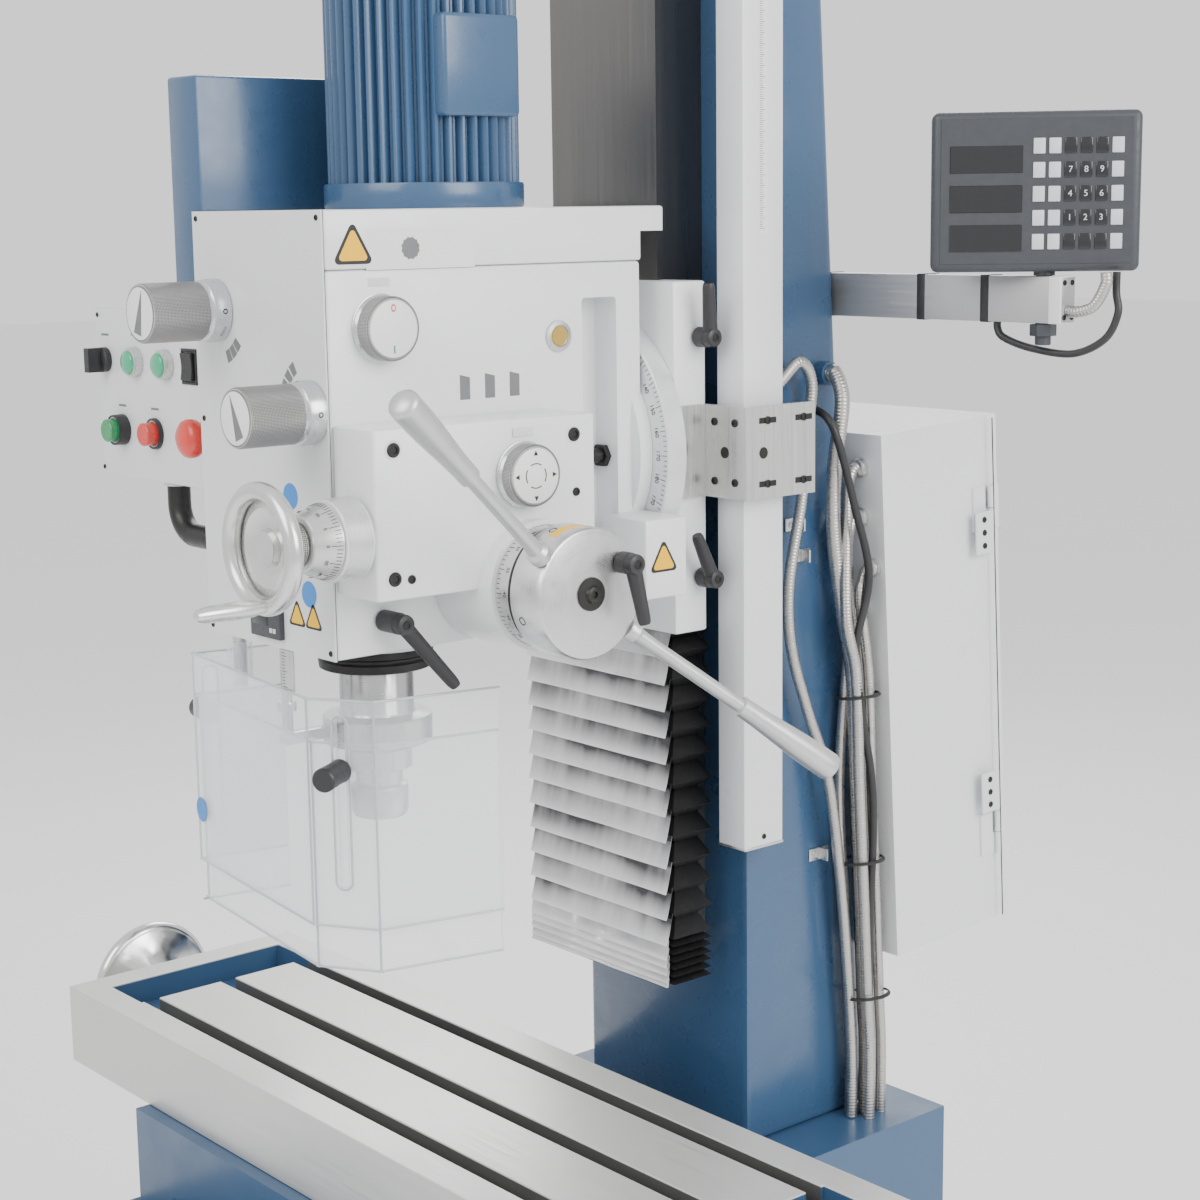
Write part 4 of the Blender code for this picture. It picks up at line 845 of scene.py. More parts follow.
def dressSpokes():
    # each spoke is a slim rod that swells into a club-shaped grip with a rounded end
    seat = seatOf("feed_hub", right)[0]
    middle = seat + Vector((spoke["at"], 0, 0))
    for index in range(2):
        angle = spoke["turn"] + index * pi
        out = Vector((sin(spoke["tilt"]), cos(spoke["tilt"]) * cos(angle), cos(spoke["tilt"]) * sin(angle)))
        start = 0.062 / cos(spoke["tilt"]) + 0.0022
        neck = spoke["length"] - spoke["grip"]
        rod = [
            (0.0004, start), (0.0105, start), (0.0112, start + 0.002), (0.0112, start + 0.010),
            (0.0078, start + 0.014)
        ]
        rod += [(0.0070, start + 0.030), (0.0069, neck - 0.002), (0.0069, neck)]
        along = np.linspace(0, 1, 26)
        swell = 0.0100 + 0.0040 * (1 - np.cos(pi * np.clip(along * 1.15, 0, 1))) / 2
        body = np.column_stack([swell, neck + 0.001 + along * (spoke["grip"] - 0.008)])
        arc = np.linspace(0, pi / 2, 8)[1:]
        cap = np.column_stack(
            [swell[-1] - 0.0068 * (1 - np.cos(arc)) * 2.0, body[-1, 1] + 0.0068 * np.sin(arc)]
        )
        cap[:, 0] = np.maximum(cap[:, 0], 0.0004)
        profile = np.concatenate([rod, body, cap, [(0.0004, cap[-1, 1])]])
        node = f"feed_spoke_{index + 1}"
        steel = turnedFinish(node + "Steel", middle, out, (0.64, 0.64, 0.64), 0.34, 0.7)
        standFor(node, lathe(profile, middle, out, 40), steel)


dressDisc()
dressHub()
dressSpokes()
print("dials and feed handle dressed")


wheel = {
    "hub": [(0.0005, 0), (0.0185, 0), (0.0195, 0.002), (0.0195, 0.030), (0.0185, 0.032), (0.0005, 0.032)],
    "grip": [
        (0.0004, 0), (0.0060, 0), (0.0062, 0.004), (0.0085, 0.008), (0.0100, 0.022), (0.0095, 0.040),
        (0.0085, 0.054), (0.0075, 0.0595), (0.0004, 0.0610),
    ],
    "bolt": [(0.0004, 0), (0.0080, 0), (0.0080, 0.0030), (0.0040, 0.0036), (0.0036, 0.0015), (0.0004, 0.0015)],
}


def wheelProfile(radius, hubRadius, hubLength, depth):
    # a dished wheel: hub, thin web curving outwards and a round rim, as one closed profile
    rim = 0.0085
    turn = np.linspace(-pi * 0.5, pi * 1.28, 26)
    circle = np.column_stack([radius - rim + rim * np.cos(turn), hubLength - rim + rim * np.sin(turn)])
    web = [(0.0005, 0), (hubRadius, 0), (hubRadius, depth * 0.35), (hubRadius * 1.15, depth * 0.5)]
    web += [(radius * 0.55, depth * 0.72)]
    inner = [
        (radius * 0.60, depth * 0.92), (hubRadius * 1.5, depth * 0.78), (hubRadius * 1.05, depth * 0.80)
    ]
    inner += [(hubRadius * 0.95, depth), (0.0005, depth)]
    return np.concatenate([web, circle, inner])


def dressWheels():
    for node, axis in (("x_handwheel", (-1, 0, 0)), ("y_handwheel", ahead)):
        axis = Vector(axis)
        seat = Vector(jointOf[node]["pos_m"])
        metal = turnedFinish(node + "Metal", seat, axis, (0.78, 0.78, 0.77), 0.14, 1.0)
        rim = lathe(wheelProfile(0.072, 0.0175, 0.080, 0.066), seat, axis, 112)
        standFor(node, [rim, lathe(wheel["hub"], seat, axis, 64)], metal)
        # the crank grip stands where the CAD wheel reaches furthest along its axis
        points = np.array([v.co[:] for v in frame["nodes"][node].data.vertices]) - np.array(seat)
        far = points[np.argsort(-(points @ np.array(axis)))[:12]].mean(0)
        flat = far - np.array(axis) * (far @ np.array(axis))
        spot = Vector(flat) + seat + axis * 0.0785
        makePiece(node + "Grip", lathe(wheel["grip"], spot, axis, 32), "black", node)
        bolt = lathe(wheel["bolt"], seat + axis * 0.066, axis, 32)
        makePiece(node + "Bolt", bolt, "blackSteel", node)


fine = {
    "radius": 0.0598, "ticks": 60, "figures": [str(5 * k) for k in range(12)],
    "cone": [
        (0.0005, 0), (0.0345, 0), (0.0354, 0.0008), (0.0350, 0.0022), (0.0262, 0.0246), (0.0250, 0.0262),
        (0.0236, 0.0268), (0.0005, 0.0268),
    ],
    "handle": [
        (0.0004, 0), (0.0052, 0), (0.0056, 0.005), (0.0075, 0.012), (0.0085, 0.030), (0.0078, 0.050),
        (0.0070, 0.062), (0.0050, 0.0688), (0.0004, 0.0705),
    ],
    "collar": [(0.0175, 0.001), (0.0202, 0.001), (0.0205, 0.003), (0.0205, 0.012), (0.0195, 0.0135), (0.0175, 0.0135)],
    "bossRing": [(0.0366, -0.0004), (0.0380, -0.0022), (0.0380, -0.0284), (0.0366, -0.0286)],
}


def dressFineFeed():
    axis = Vector(ahead)
    seat, length = seatOf("fine_dial", axis)
    steel = turnedFinish("fineSteel", seat, axis, (0.74, 0.74, 0.73), 0.3, 0.7)
    standFor("fine_dial", lathe(fine["cone"], seat, axis, 112), steel)
    ticks = tickRing(seat, axis, fine["ticks"], (0.03505, 0.0024), (0.0312, 0.0120), 0.0006)
    makePiece("fineTicks", ticks, "ink", "fine_feed")
    figures = numberRing(seat, axis, 0.0309, 0.0150, fine["figures"], 0.0050, False)
    makePiece("fineFigures", figures, "ink", "fine_feed")
    hubSeat = seat + axis * (length + 0.0003)
    metal = turnedFinish("fineWheelMetal", hubSeat, axis, (0.76, 0.76, 0.75), 0.22, 0.85)
    joint = Vector(jointOf["fine_feed"]["pos_m"])
    spot = Vector((joint.x + 0.012, hubSeat.y - 0.0440, joint.z - fine["radius"] * 0.82))
    web = lathe(wheelProfile(fine["radius"], 0.0170, 0.0455, 0.036), hubSeat, axis, 112)
    standFor("fine_feed_wheel", [web, lathe(fine["handle"], spot, axis, 32)], metal)
    knurl = knurlFinish("collarKnurl", hubSeat, axis, 34, 0.0040)
    makePiece("fineCollar", lathe(fine["collar"], hubSeat, axis, 64), knurl, "fine_feed")
    boss = seat - axis * 0.0003
    bossMetal = turnedFinish("bossMetal", boss, axis, (0.74, 0.74, 0.74), 0.3, 0.6)
    makePiece("fineBossRing", lathe(fine["bossRing"], boss, axis, 96), bossMetal, "head")


quill = {
    "rod": (-0.020, -0.093),
    "sleeve": [
        (0.0005, 0.02), (0.0372, 0.02), (0.0373, 0.312), (0.0390, 0.3155), (0.0540, 0.318), (0.0553, 0.3195),
        (0.0553, 0.3435), (0.0540, 0.345), (0.0300, 0.345), (0.0005, 0.345),
    ],
    "nut": [(0.0060, 0), (0.0092, 0.0006), (0.0095, 0.002), (0.0095, 0.008), (0.0090, 0.0095), (0.0060, 0.0095)],
    "nose": [
        (0.0005, 0), (0.0280, 0), (0.0280, 0.0040), (0.0330, 0.0058), (0.0340, 0.0070), (0.0340, 0.0262),
        (
            0.0325, 0.0278
        ), (0.0240, 0.0300), (0.0240, 0.0430), (0.0285, 0.0455), (0.0290, 0.0470), (0.0290, 0.0715),
        (0.0262, 0.0768), (0.0160, 0.0768), (0.0150, 0.0700), (0.0005, 0.0700),
    ],
}


def dressQuill():
    low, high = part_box("quill")
    down = (0, 0, -1)
    steel = turnedFinish("quillSteel", (0, 0, high.z), up, (0.60, 0.60, 0.60), 0.2, 0.95)
    x, y = quill["rod"]
    parts = [
        lathe(quill["sleeve"], (0, 0, high.z), down, 96),
        lathe([(0.0004, 0), (0.0054, 0), (0.0054, 0.196), (0.0004, 0.196)], (x, y, low.z + 0.008), up, 24),
        roundBox((x - 0.007, y - 0.006, low.z + 0.0065), (x + 0.007, -0.046, low.z + 0.018), 0.0012),
        lathe(quill["nut"], (x, y, low.z + 0.040), up, 40),
    ]
    standFor("quill", parts, steel)
    nose = seatOf("spindle", down)[0]
    noseSteel = turnedFinish("noseSteel", nose, up, (0.55, 0.55, 0.54), 0.22, 1.0)
    standFor("spindle", lathe(quill["nose"], nose, down, 64), noseSteel)
    ring, depth = seatOf("quill_ring", down)
    radius, bore, groove = 0.0578, 0.0381, 0.0578 - 0.0022
    seal = [(bore, 0.0005), (radius - 0.001, 0.0005), (radius, 0.002), (radius, 0.0085), (groove, 0.0105)]
    seal += [(groove, 0.0130), (radius, 0.0150), (radius - 0.001, depth - 0.0015)]
    seal += [(radius - 0.003, depth - 0.0004), (bore, depth - 0.0004), (bore, 0.0005)]
    standFor("quill_ring", ringOf(seal, ring, down, 96), "blackSteel")


dressWheels()
dressFineFeed()
dressQuill()
print("wheels and quill dressed")


levers = {
    "carriage_lever_upper": {"seat": (0.1303, 0.320, 1.497), "arm": (0.10, -0.14, 1), "reach": 0.056, "stand": 0.028},
    "carriage_lever_lower": {"seat": (0.1303, 0.322, 1.248), "arm": (0.10, -0.55, 1), "reach": 0.056, "stand": 0.028},
    "feed_hub_lever": {"seat": (0.2706, 0.091, 1.305), "arm": (0.12, 0.15, -1), "reach": 0.058, "stand": 0.026},
    "quill_clamp_lever": {"seat": (0.1126, -0.068, 1.250), "arm": (0.10, 0.62, -0.75), "reach": 0.085, "stand": 0.040},
}


leverScrew = [
    (0.0002, 0), (0.0042, 0), (
        0.0046, 0.0004
    ), (0.0044, 0.0009), (0.0024, 0.0009), (0.0022, 0.0002), (0.0002, 0.0002),
]


def dressLevers():
    # a ribbed boss on a steel stud, and an arm whose round root narrows to a flat squared tip
    axis = Vector(right)
    for node, plan in levers.items():
        seat = Vector(plan["seat"])
        arm = Vector(plan["arm"]).normalized()
        stand = plan["stand"]
        boss = [(0.0004, 0.0005), (0.0085, 0.0005), (0.0104, 0.0030), (0.0104, stand - 0.012)]
        boss += [(0.0096, stand - 0.0112), (0.0098, stand - 0.004), (0.0090, stand - 0.0012)]
        boss += [(0.0070, stand - 0.0002), (0.0004, stand - 0.0002)]
        root = seat + axis * (stand - 0.0085)
        along = np.linspace(0, 1, 22)
        path = np.array(root)[None] + np.array(arm)[None] * (along * plan["reach"])[:, None]
        width = 0.0084 - 0.0020 * along ** 0.7
        width[-3:] *= (0.99, 0.95, 0.80)
        standFor(node, [lathe(boss, seat, axis, 40), sweep(path, width, 20, (0.98, 0.80))], "black")
        screw = lathe(leverScrew, seat + axis * (stand - 0.0003), axis, 24)
        makePiece(node + "Screw", screw, "blackSteel", node)


screws = {
    "feedBoxBig": ((-0.097, 1.417), (0.105, 1.417), (-0.099, 1.300)),
    "feedBoxSmall": ((-0.081, 1.298), (0.107, 1.362)),
    "counterbore": [(0.0068, -0.0001), (0.0092, -0.0001), (0.0090, 0.0004), (0.0070, 0.0002), (0.0068, -0.0001)],
    "plateMiddle": 1.43,
}


def feedBoxSpot(y, z):
    # a point on the feed box's side, which flares towards the back
    return 0.178 + 0.012 * (y + 0.1175) / 0.2475 + 0.0002, y, z


def dressScrews():
    axis = (0.9988, -0.0484, 0)
    big = [feedBoxSpot(*spot) for spot in screws["feedBoxBig"]]
    small = [feedBoxSpot(*spot) for spot in screws["feedBoxSmall"]]
    parts = [screwHead(spot, axis, 0.0066) for spot in big] + [
        screwHead(spot, axis, 0.0042) for spot in small
    ]
    makePiece("feedBoxScrews", parts, "blackSteel", "head")
    makePiece(
        "feedBoxCounterbores", [ringOf(screws["counterbore"], spot, axis, 40) for spot in big], "face",
        "head"
    )
    low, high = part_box("front_plate")
    gap = 0.0006
    seam = roundBox(
        (low.x - gap, high.y + 0.00003, low.z - gap), (high.x + gap, high.y + 0.00025, high.z + gap),
        0.0001, 1
    )
    makePiece("frontPlateSeam", seam, "ink", "head")
    y, inset = low.y, 0.007
    heights = (low.z + inset, screws["plateMiddle"], high.z - inset)
    spots = [(x, y, z) for x in (low.x + inset, high.x - inset) for z in heights]
    makePiece("frontPlateScrews", [screwHead(spot, ahead, 0.0028) for spot in spots], "blackSteel", "head")
    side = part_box("scale_bracket")[1].x
    spots = [((side, y, z), right) for y in (0.356, 0.408) for z in (1.348, 1.413)]
    spots += [((x, 0.325, z), ahead) for x in (0.150, 0.180) for z in (1.350, 1.411)]
    cuts = [plateOf(oblong(0.012, 0.003), -0.0001, 0.0004, spot, way) for spot, way in spots[:4]]
    heads = [screwHead(spot, way, 0.0042, 0.0004) for spot, way in spots]
    makePiece("scaleBracketScrews", heads, "blackSteel", "carriage")
    hole = [(0.0002, 0), (0.0060, 0), (0.0060, 0.0003), (0.0002, 0.0003)]
    cuts += [lathe(hole, (side, 0.350, 1.380), right, 32), lathe(hole, (0.165, 0.325, 1.380), ahead, 32)]
    makePiece("scaleBracketSlots", cuts, "blackSteel", "carriage")
    low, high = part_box("scale_housing")
    spots = [(high.x, (low.y + high.y) / 2, z) for z in (low.z + 0.012, high.z - 0.012)]
    makePiece("housingScrews", [screwHead(spot, right, 0.0030) for spot in spots], "blackSteel", "frame")
    low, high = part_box("readout_arm")
    tip = [
        screwHead(
            (high.x, y, z), right, 0.0028
        ) for y in (low.y + 0.005, high.y - 0.005) for z in (1.516, 1.550)
    ]
    makePiece("armEndScrews", tip, "blackSteel", "readout_arm")


sight = {
    "spot": (0.1125, 0.150, 1.505),
    "ring": [
        (0.0004, 0), (0.0150, 0), (0.0155, 0.001), (0.0150, 0.0030), (0.0110, 0.0036), (0.0104, 0.0022),
        (0.0004, 0.0022),
    ],
    "glass": [(0.0004, 0.0022), (0.0101, 0.0022), (0.0090, 0.0036), (0.0004, 0.0042)],
}


swivelNut = {
    "spot": (0.090, 0.232, 1.380), "radius": 0.0125, "tall": 0.012,
    "stud": [(0.0004, 0), (0.0075, 0), (0.0075, 0.028), (0.0060, 0.030), (0.0004, 0.030)],
}


def dressSmallFittings():
    # the sight glass, the swivel nut, and the depth display with its window, keys and ruled strip
    glass = sight["spot"]
    makePiece("sightRing", lathe(sight["ring"], glass, right, 48), "aluminium", "head")
    makePiece("sightGlass", lathe(sight["glass"], glass, right, 40), "oilGlass", "head")
    nut = Vector(swivelNut["spot"])
    outline = [(swivelNut["radius"] * cos(a), swivelNut["radius"] * sin(a)) for a in np.arange(6) * pi / 3]
    stud = lathe(swivelNut["stud"], nut - Vector((0, 0.005, 0)), ahead, 24)
    parts = [plateOf(outline, 0.0, swivelNut["tall"], nut, ahead), stud]
    makePiece("swivelNut", parts, "blackSteel", "head", bevel=0.0006)
    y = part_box("front_plate")[0].y
    makePiece(
        "depthDisplay", roundBox((-0.025, y - 0.006, 1.226), (0.027, y + 0.0002, 1.258), 0.0012),
        "graphite", "head"
    )
    window = roundBox((-0.020, y - 0.0066, 1.238), (0.006, y - 0.0058, 1.252), 0.0003)
    makePiece("depthWindow", window, "screen", "head")
    keys = [
        roundBox(
            (x, y - 0.0068, 1.232), (x + 0.0045, y - 0.0058, 1.2365), 0.0003
        ) for x in (0.010, 0.016)
    ]
    makePiece("depthKeys", keys, "key", "head")
    strip = roundBox((0.018, y - 0.0002, 1.176), (0.038, y + 0.0026, 1.2165), 0.0006)
    makePiece("depthStrip", strip, "aluminium", "head")
    lines = []
    for k in range(12):
        long = 0.008 if k % 5 == 0 else 0.005
        z = 1.180 + 0.003 * k
        lines.append(roundBox((0.020, y - 0.0005, z), (0.020 + long, y - 0.0001, z + 0.0006), 0.0001, 1))
    makePiece("depthLines", lines, "ink", "head")


hinges = {
    "tilt": atan(0.059), "heights": (1.262, 0.957), "half": 0.024, "leaf": 0.030, "seal": 0.590,
    "screw": [(0.0002, 0), (0.0036, 0), (0.0034, 0.0008), (0.0012, 0.0010), (0.0010, 0.0004), (0.0002, 0.0004)],
}


def slabOn(corners, placed, low, high):
    # a flat four-cornered slab between two depths, where placed(u, v) gives a point of its plane
    points = np.array([placed(u, v) + (depth, 0, 0) for depth in (low, high) for u, v in corners])
    faces = [[0, 1, 2, 3], [7, 6, 5, 4]] + [[k, (k + 1) % 4, 4 + (k + 1) % 4, 4 + k] for k in range(4)]
    return points, faces


def dressCabinet():
    # hinge plates with their screws, and the dark seal that shows in the door's joint
    tilt = hinges["tilt"]
    pin = Vector(jointOf["cabinet_door"]["pos_m"])
    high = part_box("cabinet")[1]
    along = Vector((0, sin(tilt) * -1, cos(tilt)))
    inward = Vector((0, -cos(tilt), -sin(tilt)))
    half, leaf = hinges["half"], hinges["leaf"]
    plates, heads = [], []
    for height in hinges["heights"]:
        middle = pin + along * ((height - pin.z) / along.z)
        middle.x = high.x
        def placed(u, v):
            return np.array(middle + inward * u + along * v)
        corners = [(0.0035, -half), (0.0035 + leaf, -half), (0.0035 + leaf, half), (0.0035, half)]
        plates.append(slabOn(corners, placed, 0.0002, 0.0024))
        heads += [
            lathe(
                hinges["screw"], placed(0.020, v) + (0.0024, 0, 0), right, 20
            ) for v in (-0.015, 0.0, 0.015)
        ]
    top = (high.z - pin.z) / cos(tilt) - 0.002
    bottom, thin = top - hinges["seal"], 0.0007
    middle = Vector((high.x, pin.y, pin.z))
    ends = [(-thin, bottom), (thin, bottom), (thin, top), (-thin, top)]
    makePiece("doorSeal", slabOn(ends, placed, -0.0004, 0.0002), "ink", "frame")
    makePiece("hingeLeaves", plates, "plate", "frame", bevel=0.0005)
    makePiece("hingeScrews", heads, "blackSteel", "frame")


def dressScaleHousing():
    # a pale strip with ruled lines down the housing's side, and a metal cap at each end
    low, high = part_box("scale_housing")
    side, middle = high.x, (low.y + high.y) / 2
    strip = roundBox(
        (side - 0.0001, middle - 0.006, 1.60), (side + 0.0003, middle + 0.006, high.z - 0.03), 0.0001, 1
    )
    makePiece("housingStrip", strip, "face", "frame")
    lines = []
    for k in range(120):
        spot = np.array((side + 0.0002, middle - 0.0055, 1.605 + 0.00215 * k))
        lines.append(roundBox(spot, spot + (0.0002, 0.0070 if k % 5 == 0 else 0.0042, 0.0005), 0.00005, 1))
    makePiece("housingLines", lines, "ink", "frame")
    ends = (low.z, high.z - 0.0035)
    caps = [
        roundBox(
            (low.x - 0.0002, low.y - 0.0002, z), (side + 0.0004, high.y + 0.0004, z + 0.0035), 0.0008, 2
        ) for z in ends
    ]
    makePiece("housingEnds", caps, "aluminium", "frame")


foils = {
    "discRadius": 0.0125,
    "blueDiscs": [
        (0.046, 1.3360), (0.046, 1.3060), (0.072, 1.3360), (0.072, 1.3060), (0.046, 1.3660), (0.072, 1.2760),
    ],
    "triangles": [(0.050, 1.252), (0.078, 1.252)],
    "tiles": [((-0.073, 1.536), (-1.15, -0.95, -0.75)), ((0.086, 1.447), (2.2, 2.42, 2.64))],
}


def roundTriangle(size, corner=0.18, steps=5):
    # a triangle whose corners are arcs
    points = []
    for k in range(3):
        heading = pi / 2 + k * 2 * pi / 3
        for a in np.linspace(-pi / 3, pi / 3, steps):
            points.append(
                (
                    size * (1 - corner) * cos(heading) + size * corner * cos(heading + a),
                    size * (1 - corner) * sin(heading) + size * corner * sin(heading + a)
                )
            )
    return points


def oblong(halfWide, halfTall):
    return [(-halfWide, -halfTall), (halfWide, -halfTall), (halfWide, halfTall), (-halfWide, halfTall)]


def dressFoils():
    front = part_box("front_plate")[0].y
    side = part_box("top_cover")[1].x
    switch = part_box("switch_box")
    ring = np.linspace(0, 2 * pi, 40, endpoint=False)
    circle = np.column_stack([np.cos(ring), np.sin(ring)]) * foils["discRadius"]
    discs = [plateOf(circle, -0.0001, 0.0002, (x, front, z), ahead) for x, z in foils["blueDiscs"]]
    makePiece("frontBlueDiscs", discs, "blueFoil", "head")
    signs = [(0.0150, 0.0112, (x, front, z), ahead) for x, z in foils["triangles"]]
    signs.append((0.0225, 0.0172, (side, -0.088, 1.594), right))
    signs.append((0.0190, 0.0148, (switch[1].x, (switch[0].y + switch[1].y) / 2 - 0.004, 1.281), right))
    borders = [
        plateOf(roundTriangle(outer), -0.0001, 0.0002, spot, axis) for outer, inner, spot, axis in signs
    ]
    inners = [
        plateOf(roundTriangle(inner), 0.0002, 0.0003, spot, axis) for outer, inner, spot, axis in signs
    ]
    makePiece("triangleBorders", borders, "ink", "head")
    makePiece("triangleFoils", inners, "yellow", "head")
    tiles = []
    for (x, z), angles in foils["tiles"]:
        for a in angles:
            corners = [
                (r, t) for r,
                ts in ((0.041, (a - 0.085, a + 0.085)), (0.053, (a + 0.085, a - 0.085))) for t in ts
            ]
            points, faces = plateOf([(x + r * cos(t), z + r * sin(t)) for r, t in corners], 0.0, 0.0003)
            tiles.append((np.column_stack([points[:, 0], front - points[:, 2], points[:, 1]]), faces))
    makePiece("speedTiles", tiles, "paleInk", "head")
    gearSpot, scaleSpot = (side, -0.012, 1.594), (side, 0.055, 1.462)
    labels = [(0.062, 0.019, gearSpot), (0.052, 0.017, scaleSpot)]
    makePiece(
        "sideLabels", [plateOf(oblong(u, v), -0.0001, 0.0001, spot, right) for u, v, spot in labels],
        "face", "head"
    )
    marks = []
    for x in (-0.020, 0.010, 0.040):
        wedge = [(x - 0.006, 0.012), (x + 0.006, 0.009), (x + 0.006, -0.012), (x - 0.006, -0.012)]
        marks.append(plateOf(wedge, 0.0001, 0.0003, scaleSpot, right))
    teeth = [(0.0095 * (1 + 0.12 * (k % 2)), k * pi / 12) for k in range(24)]
    gear = [(r * cos(a) - 0.012, r * sin(a)) for r, a in teeth]
    marks.append(plateOf(gear, 0.0001, 0.0003, gearSpot, right))
    makePiece("labelMarks", marks, "paleInk", "head")
    spots = ((side, -0.061, 1.564), (0.1864, 0.046, 1.4235))
    makePiece(
        "indexPlates", [plateOf(oblong(0.012, 0.004), -0.0001, 0.0004, spot, right) for spot in spots],
        "plate", "head"
    )


dressLevers()
dressScrews()
dressSmallFittings()
dressCabinet()
dressScaleHousing()
dressFoils()
print("levers, screws and foils dressed")


panel = {
    "face": -0.075, "upper": 1.473, "lower": 1.399, "lamps": (-0.323, -0.259),
    "stop": [
        (0.0004, 0), (0.0118, 0), (0.0118, 0.0348), (0.0175, 0.0368), (0.0194, 0.0400), (0.0199, 0.0460),
        (0.0186, 0.0505), (0.0150, 0.0535), (0.0080, 0.0550), (0.0004, 0.0553),
    ],
    "collar": [
        (0.0126, 0.0005), (0.0222, 0.0005), (0.0226, 0.0020), (0.0226, 0.0100), (0.0212, 0.0124),
        (0.0126, 0.0124), (0.0126, 0.0005),
    ],
    "marks": [
        (-0.389, 1.500), (-0.323, 1.502), (-0.259, 1.502), (
            -0.2105, 1.502
        ), (-0.357, 1.425), (-0.287, 1.425),
    ],
}


def dressRocker(face):
    # the rocker's front dips in a sine curve, inside a frame of four bars
    low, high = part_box("rocker_switch")
    tall = np.linspace(0, 1, 9)
    front = low.y + 0.0016 * np.sin(pi * tall)
    z = low.z + (high.z - low.z) * tall
    outline = np.concatenate([np.column_stack([front, z]), [(high.y, high.z), (high.y, low.z)]])
    count = len(outline)
    points = np.concatenate([np.column_stack([np.full(count, x), outline]) for x in (low.x, high.x)])
    faces = [[k, (k + 1) % count, count + (k + 1) % count, count + k] for k in range(count)]
    faces += [list(range(count)), list(range(count, 2 * count))[::-1]]
    standFor("rocker_switch", (points, faces), "black", bevel=0.0005)
    bars = [(low.x - 0.0045, high.x + 0.0045, z, z + 0.0031) for z in (high.z + 0.0014, low.z - 0.0045)]
    bars += [
        (
            x - 0.0014, x + 0.0014, low.z - 0.0030, high.z + 0.0030
        ) for x in (low.x - 0.0031, high.x + 0.0031)
    ]
    surround = [roundBox((a, face - 0.0018, c), (b, face + 0.0004, d), 0.0006) for a, b, c, d in bars]
    makePiece("rockerFrame", surround, "black", "control_panel")


def dressPanel():
    face = panel["face"]
    for node, finish in (("start_button", "greenPlastic"), ("stop_button", "redPlastic")):
        low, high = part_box(node)
        radius, top = 0.0125, high.y - low.y
        shape = [(0.0004, 0), (radius - 0.0004, 0), (radius - 0.0003, top - 0.0012)]
        shape += [(radius - 0.0014, top - 0.0002), (0.0004, top - 0.0004)]
        standFor(node, lathe(shape, ((low.x + high.x) / 2, high.y, (low.z + high.z) / 2), ahead, 48), finish)
    low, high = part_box("emergency_stop")
    top = high.y - low.y
    spot = ((low.x + high.x) / 2, high.y, (low.z + high.z) / 2)
    stop = [(r, h * top / 0.0555) for r, h in panel["stop"]]
    standFor("emergency_stop", lathe(stop, spot, ahead, 64), "redPlastic")
    collar = ringOf(panel["collar"], (spot[0], face, spot[2]), ahead, 64)
    makePiece("stopCollar", collar, "yellow", "control_panel")
    def bezel(x, z, radius, deep):
        profile = [
            (radius - 0.0024, 0.0002), (radius, 0.0002), (radius + 0.0003, 0.001),
            (radius - 0.0002, deep)
        ]
        profile += [(radius - 0.0022, deep + 0.0004), (radius - 0.0024, 0.0002)]
        return ringOf(profile, (x, face, z), ahead, 48)
    upper, lower = panel["upper"], panel["lower"]
    rings = [bezel(-0.357, lower, 0.0165, 0.0126), bezel(-0.287, lower, 0.0165, 0.0046)]
    makePiece("buttonBezels", rings, "black", "control_panel")
    dome = [(0.0124 * cos(a), 0.0116 + 0.0030 * sin(a)) for a in np.linspace(0.1, pi / 2, 7)[:-1]]
    lens = [(0.0004, 0.0002), (0.0132, 0.0002), (0.0132, 0.0104)] + dome + [(0.0004, 0.0146)]
    lamps = [lathe(lens, (x, face, upper), ahead, 48) for x in panel["lamps"]]
    makePiece("pilotLamps", lamps, "lampGlass", "control_panel")
    makePiece(
        "lampRings", [bezel(x, upper, 0.0158, 0.0080) for x in panel["lamps"]], "aluminium",
        "control_panel"
    )
    dressRocker(face)
    corners = [screwHead((x, face, z), ahead, 0.0026) for x in (-0.404, -0.133) for z in (1.355, 1.521)]
    makePiece("panelScrews", corners, "blackSteel", "control_panel")
    marks = [plateOf(oblong(0.008, 0.0012), -0.0001, 0.0002, (x, face, z), ahead) for x, z in panel["marks"]]
    makePiece("panelMarks", marks, "paleInk", "control_panel")
    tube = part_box("panel_tube")[1]
    x, y, level, bend = -0.297, -0.045, 1.289, 0.032
    path = [(x, y, tube.z), (x, y, level + bend)]
    for a in np.linspace(0.15, pi / 2 - 0.1, 8):
        path.append((x + bend * (1 - cos(a)), y, level + bend - bend * sin(a)))
    path += [(x + 0.040, y, level), (tube.x, y, level)]
    standFor("panel_tube", sweep(smoothPath(path, 0.004), 0.0124, 32), "blackSteel", angle=60)


dressPanel()
print("control panel dressed")


readout = {
    "post": [
        (0.0004, 0.001), (0.0106, 0.001), (0.0106, -0.0038), (0.0079, -0.0040), (0.0079, -0.0720),
        (0.0070, -0.0724), (0.0004, -0.0724),
    ],
    "windows": (0.020, 0.058, 0.096), "clips": (0.110, 0.245, 0.330),
    "conduitStart": [(0.470, 0.545, 0), (0.470, 0.545, -0.012)],
    "conduit": [(0.460, 0.540, 1.528), (0.4443, 0.536, 1.522), (0.4323, 0.536, 1.522)],
    "cableStart": [(0.470, 0.562, 0), (0.470, 0.562, -0.02)],
    "cable": [
        (0.474, 0.560, 1.520), (0.462, 0.556, 1.495), (0.430, 0.548, 1.480), (0.385, 0.540, 1.484),
        (0.352, 0.536, 1.494), (0.344, 0.536, 1.5037), (0.344, 0.536, 1.5097),
    ],
}


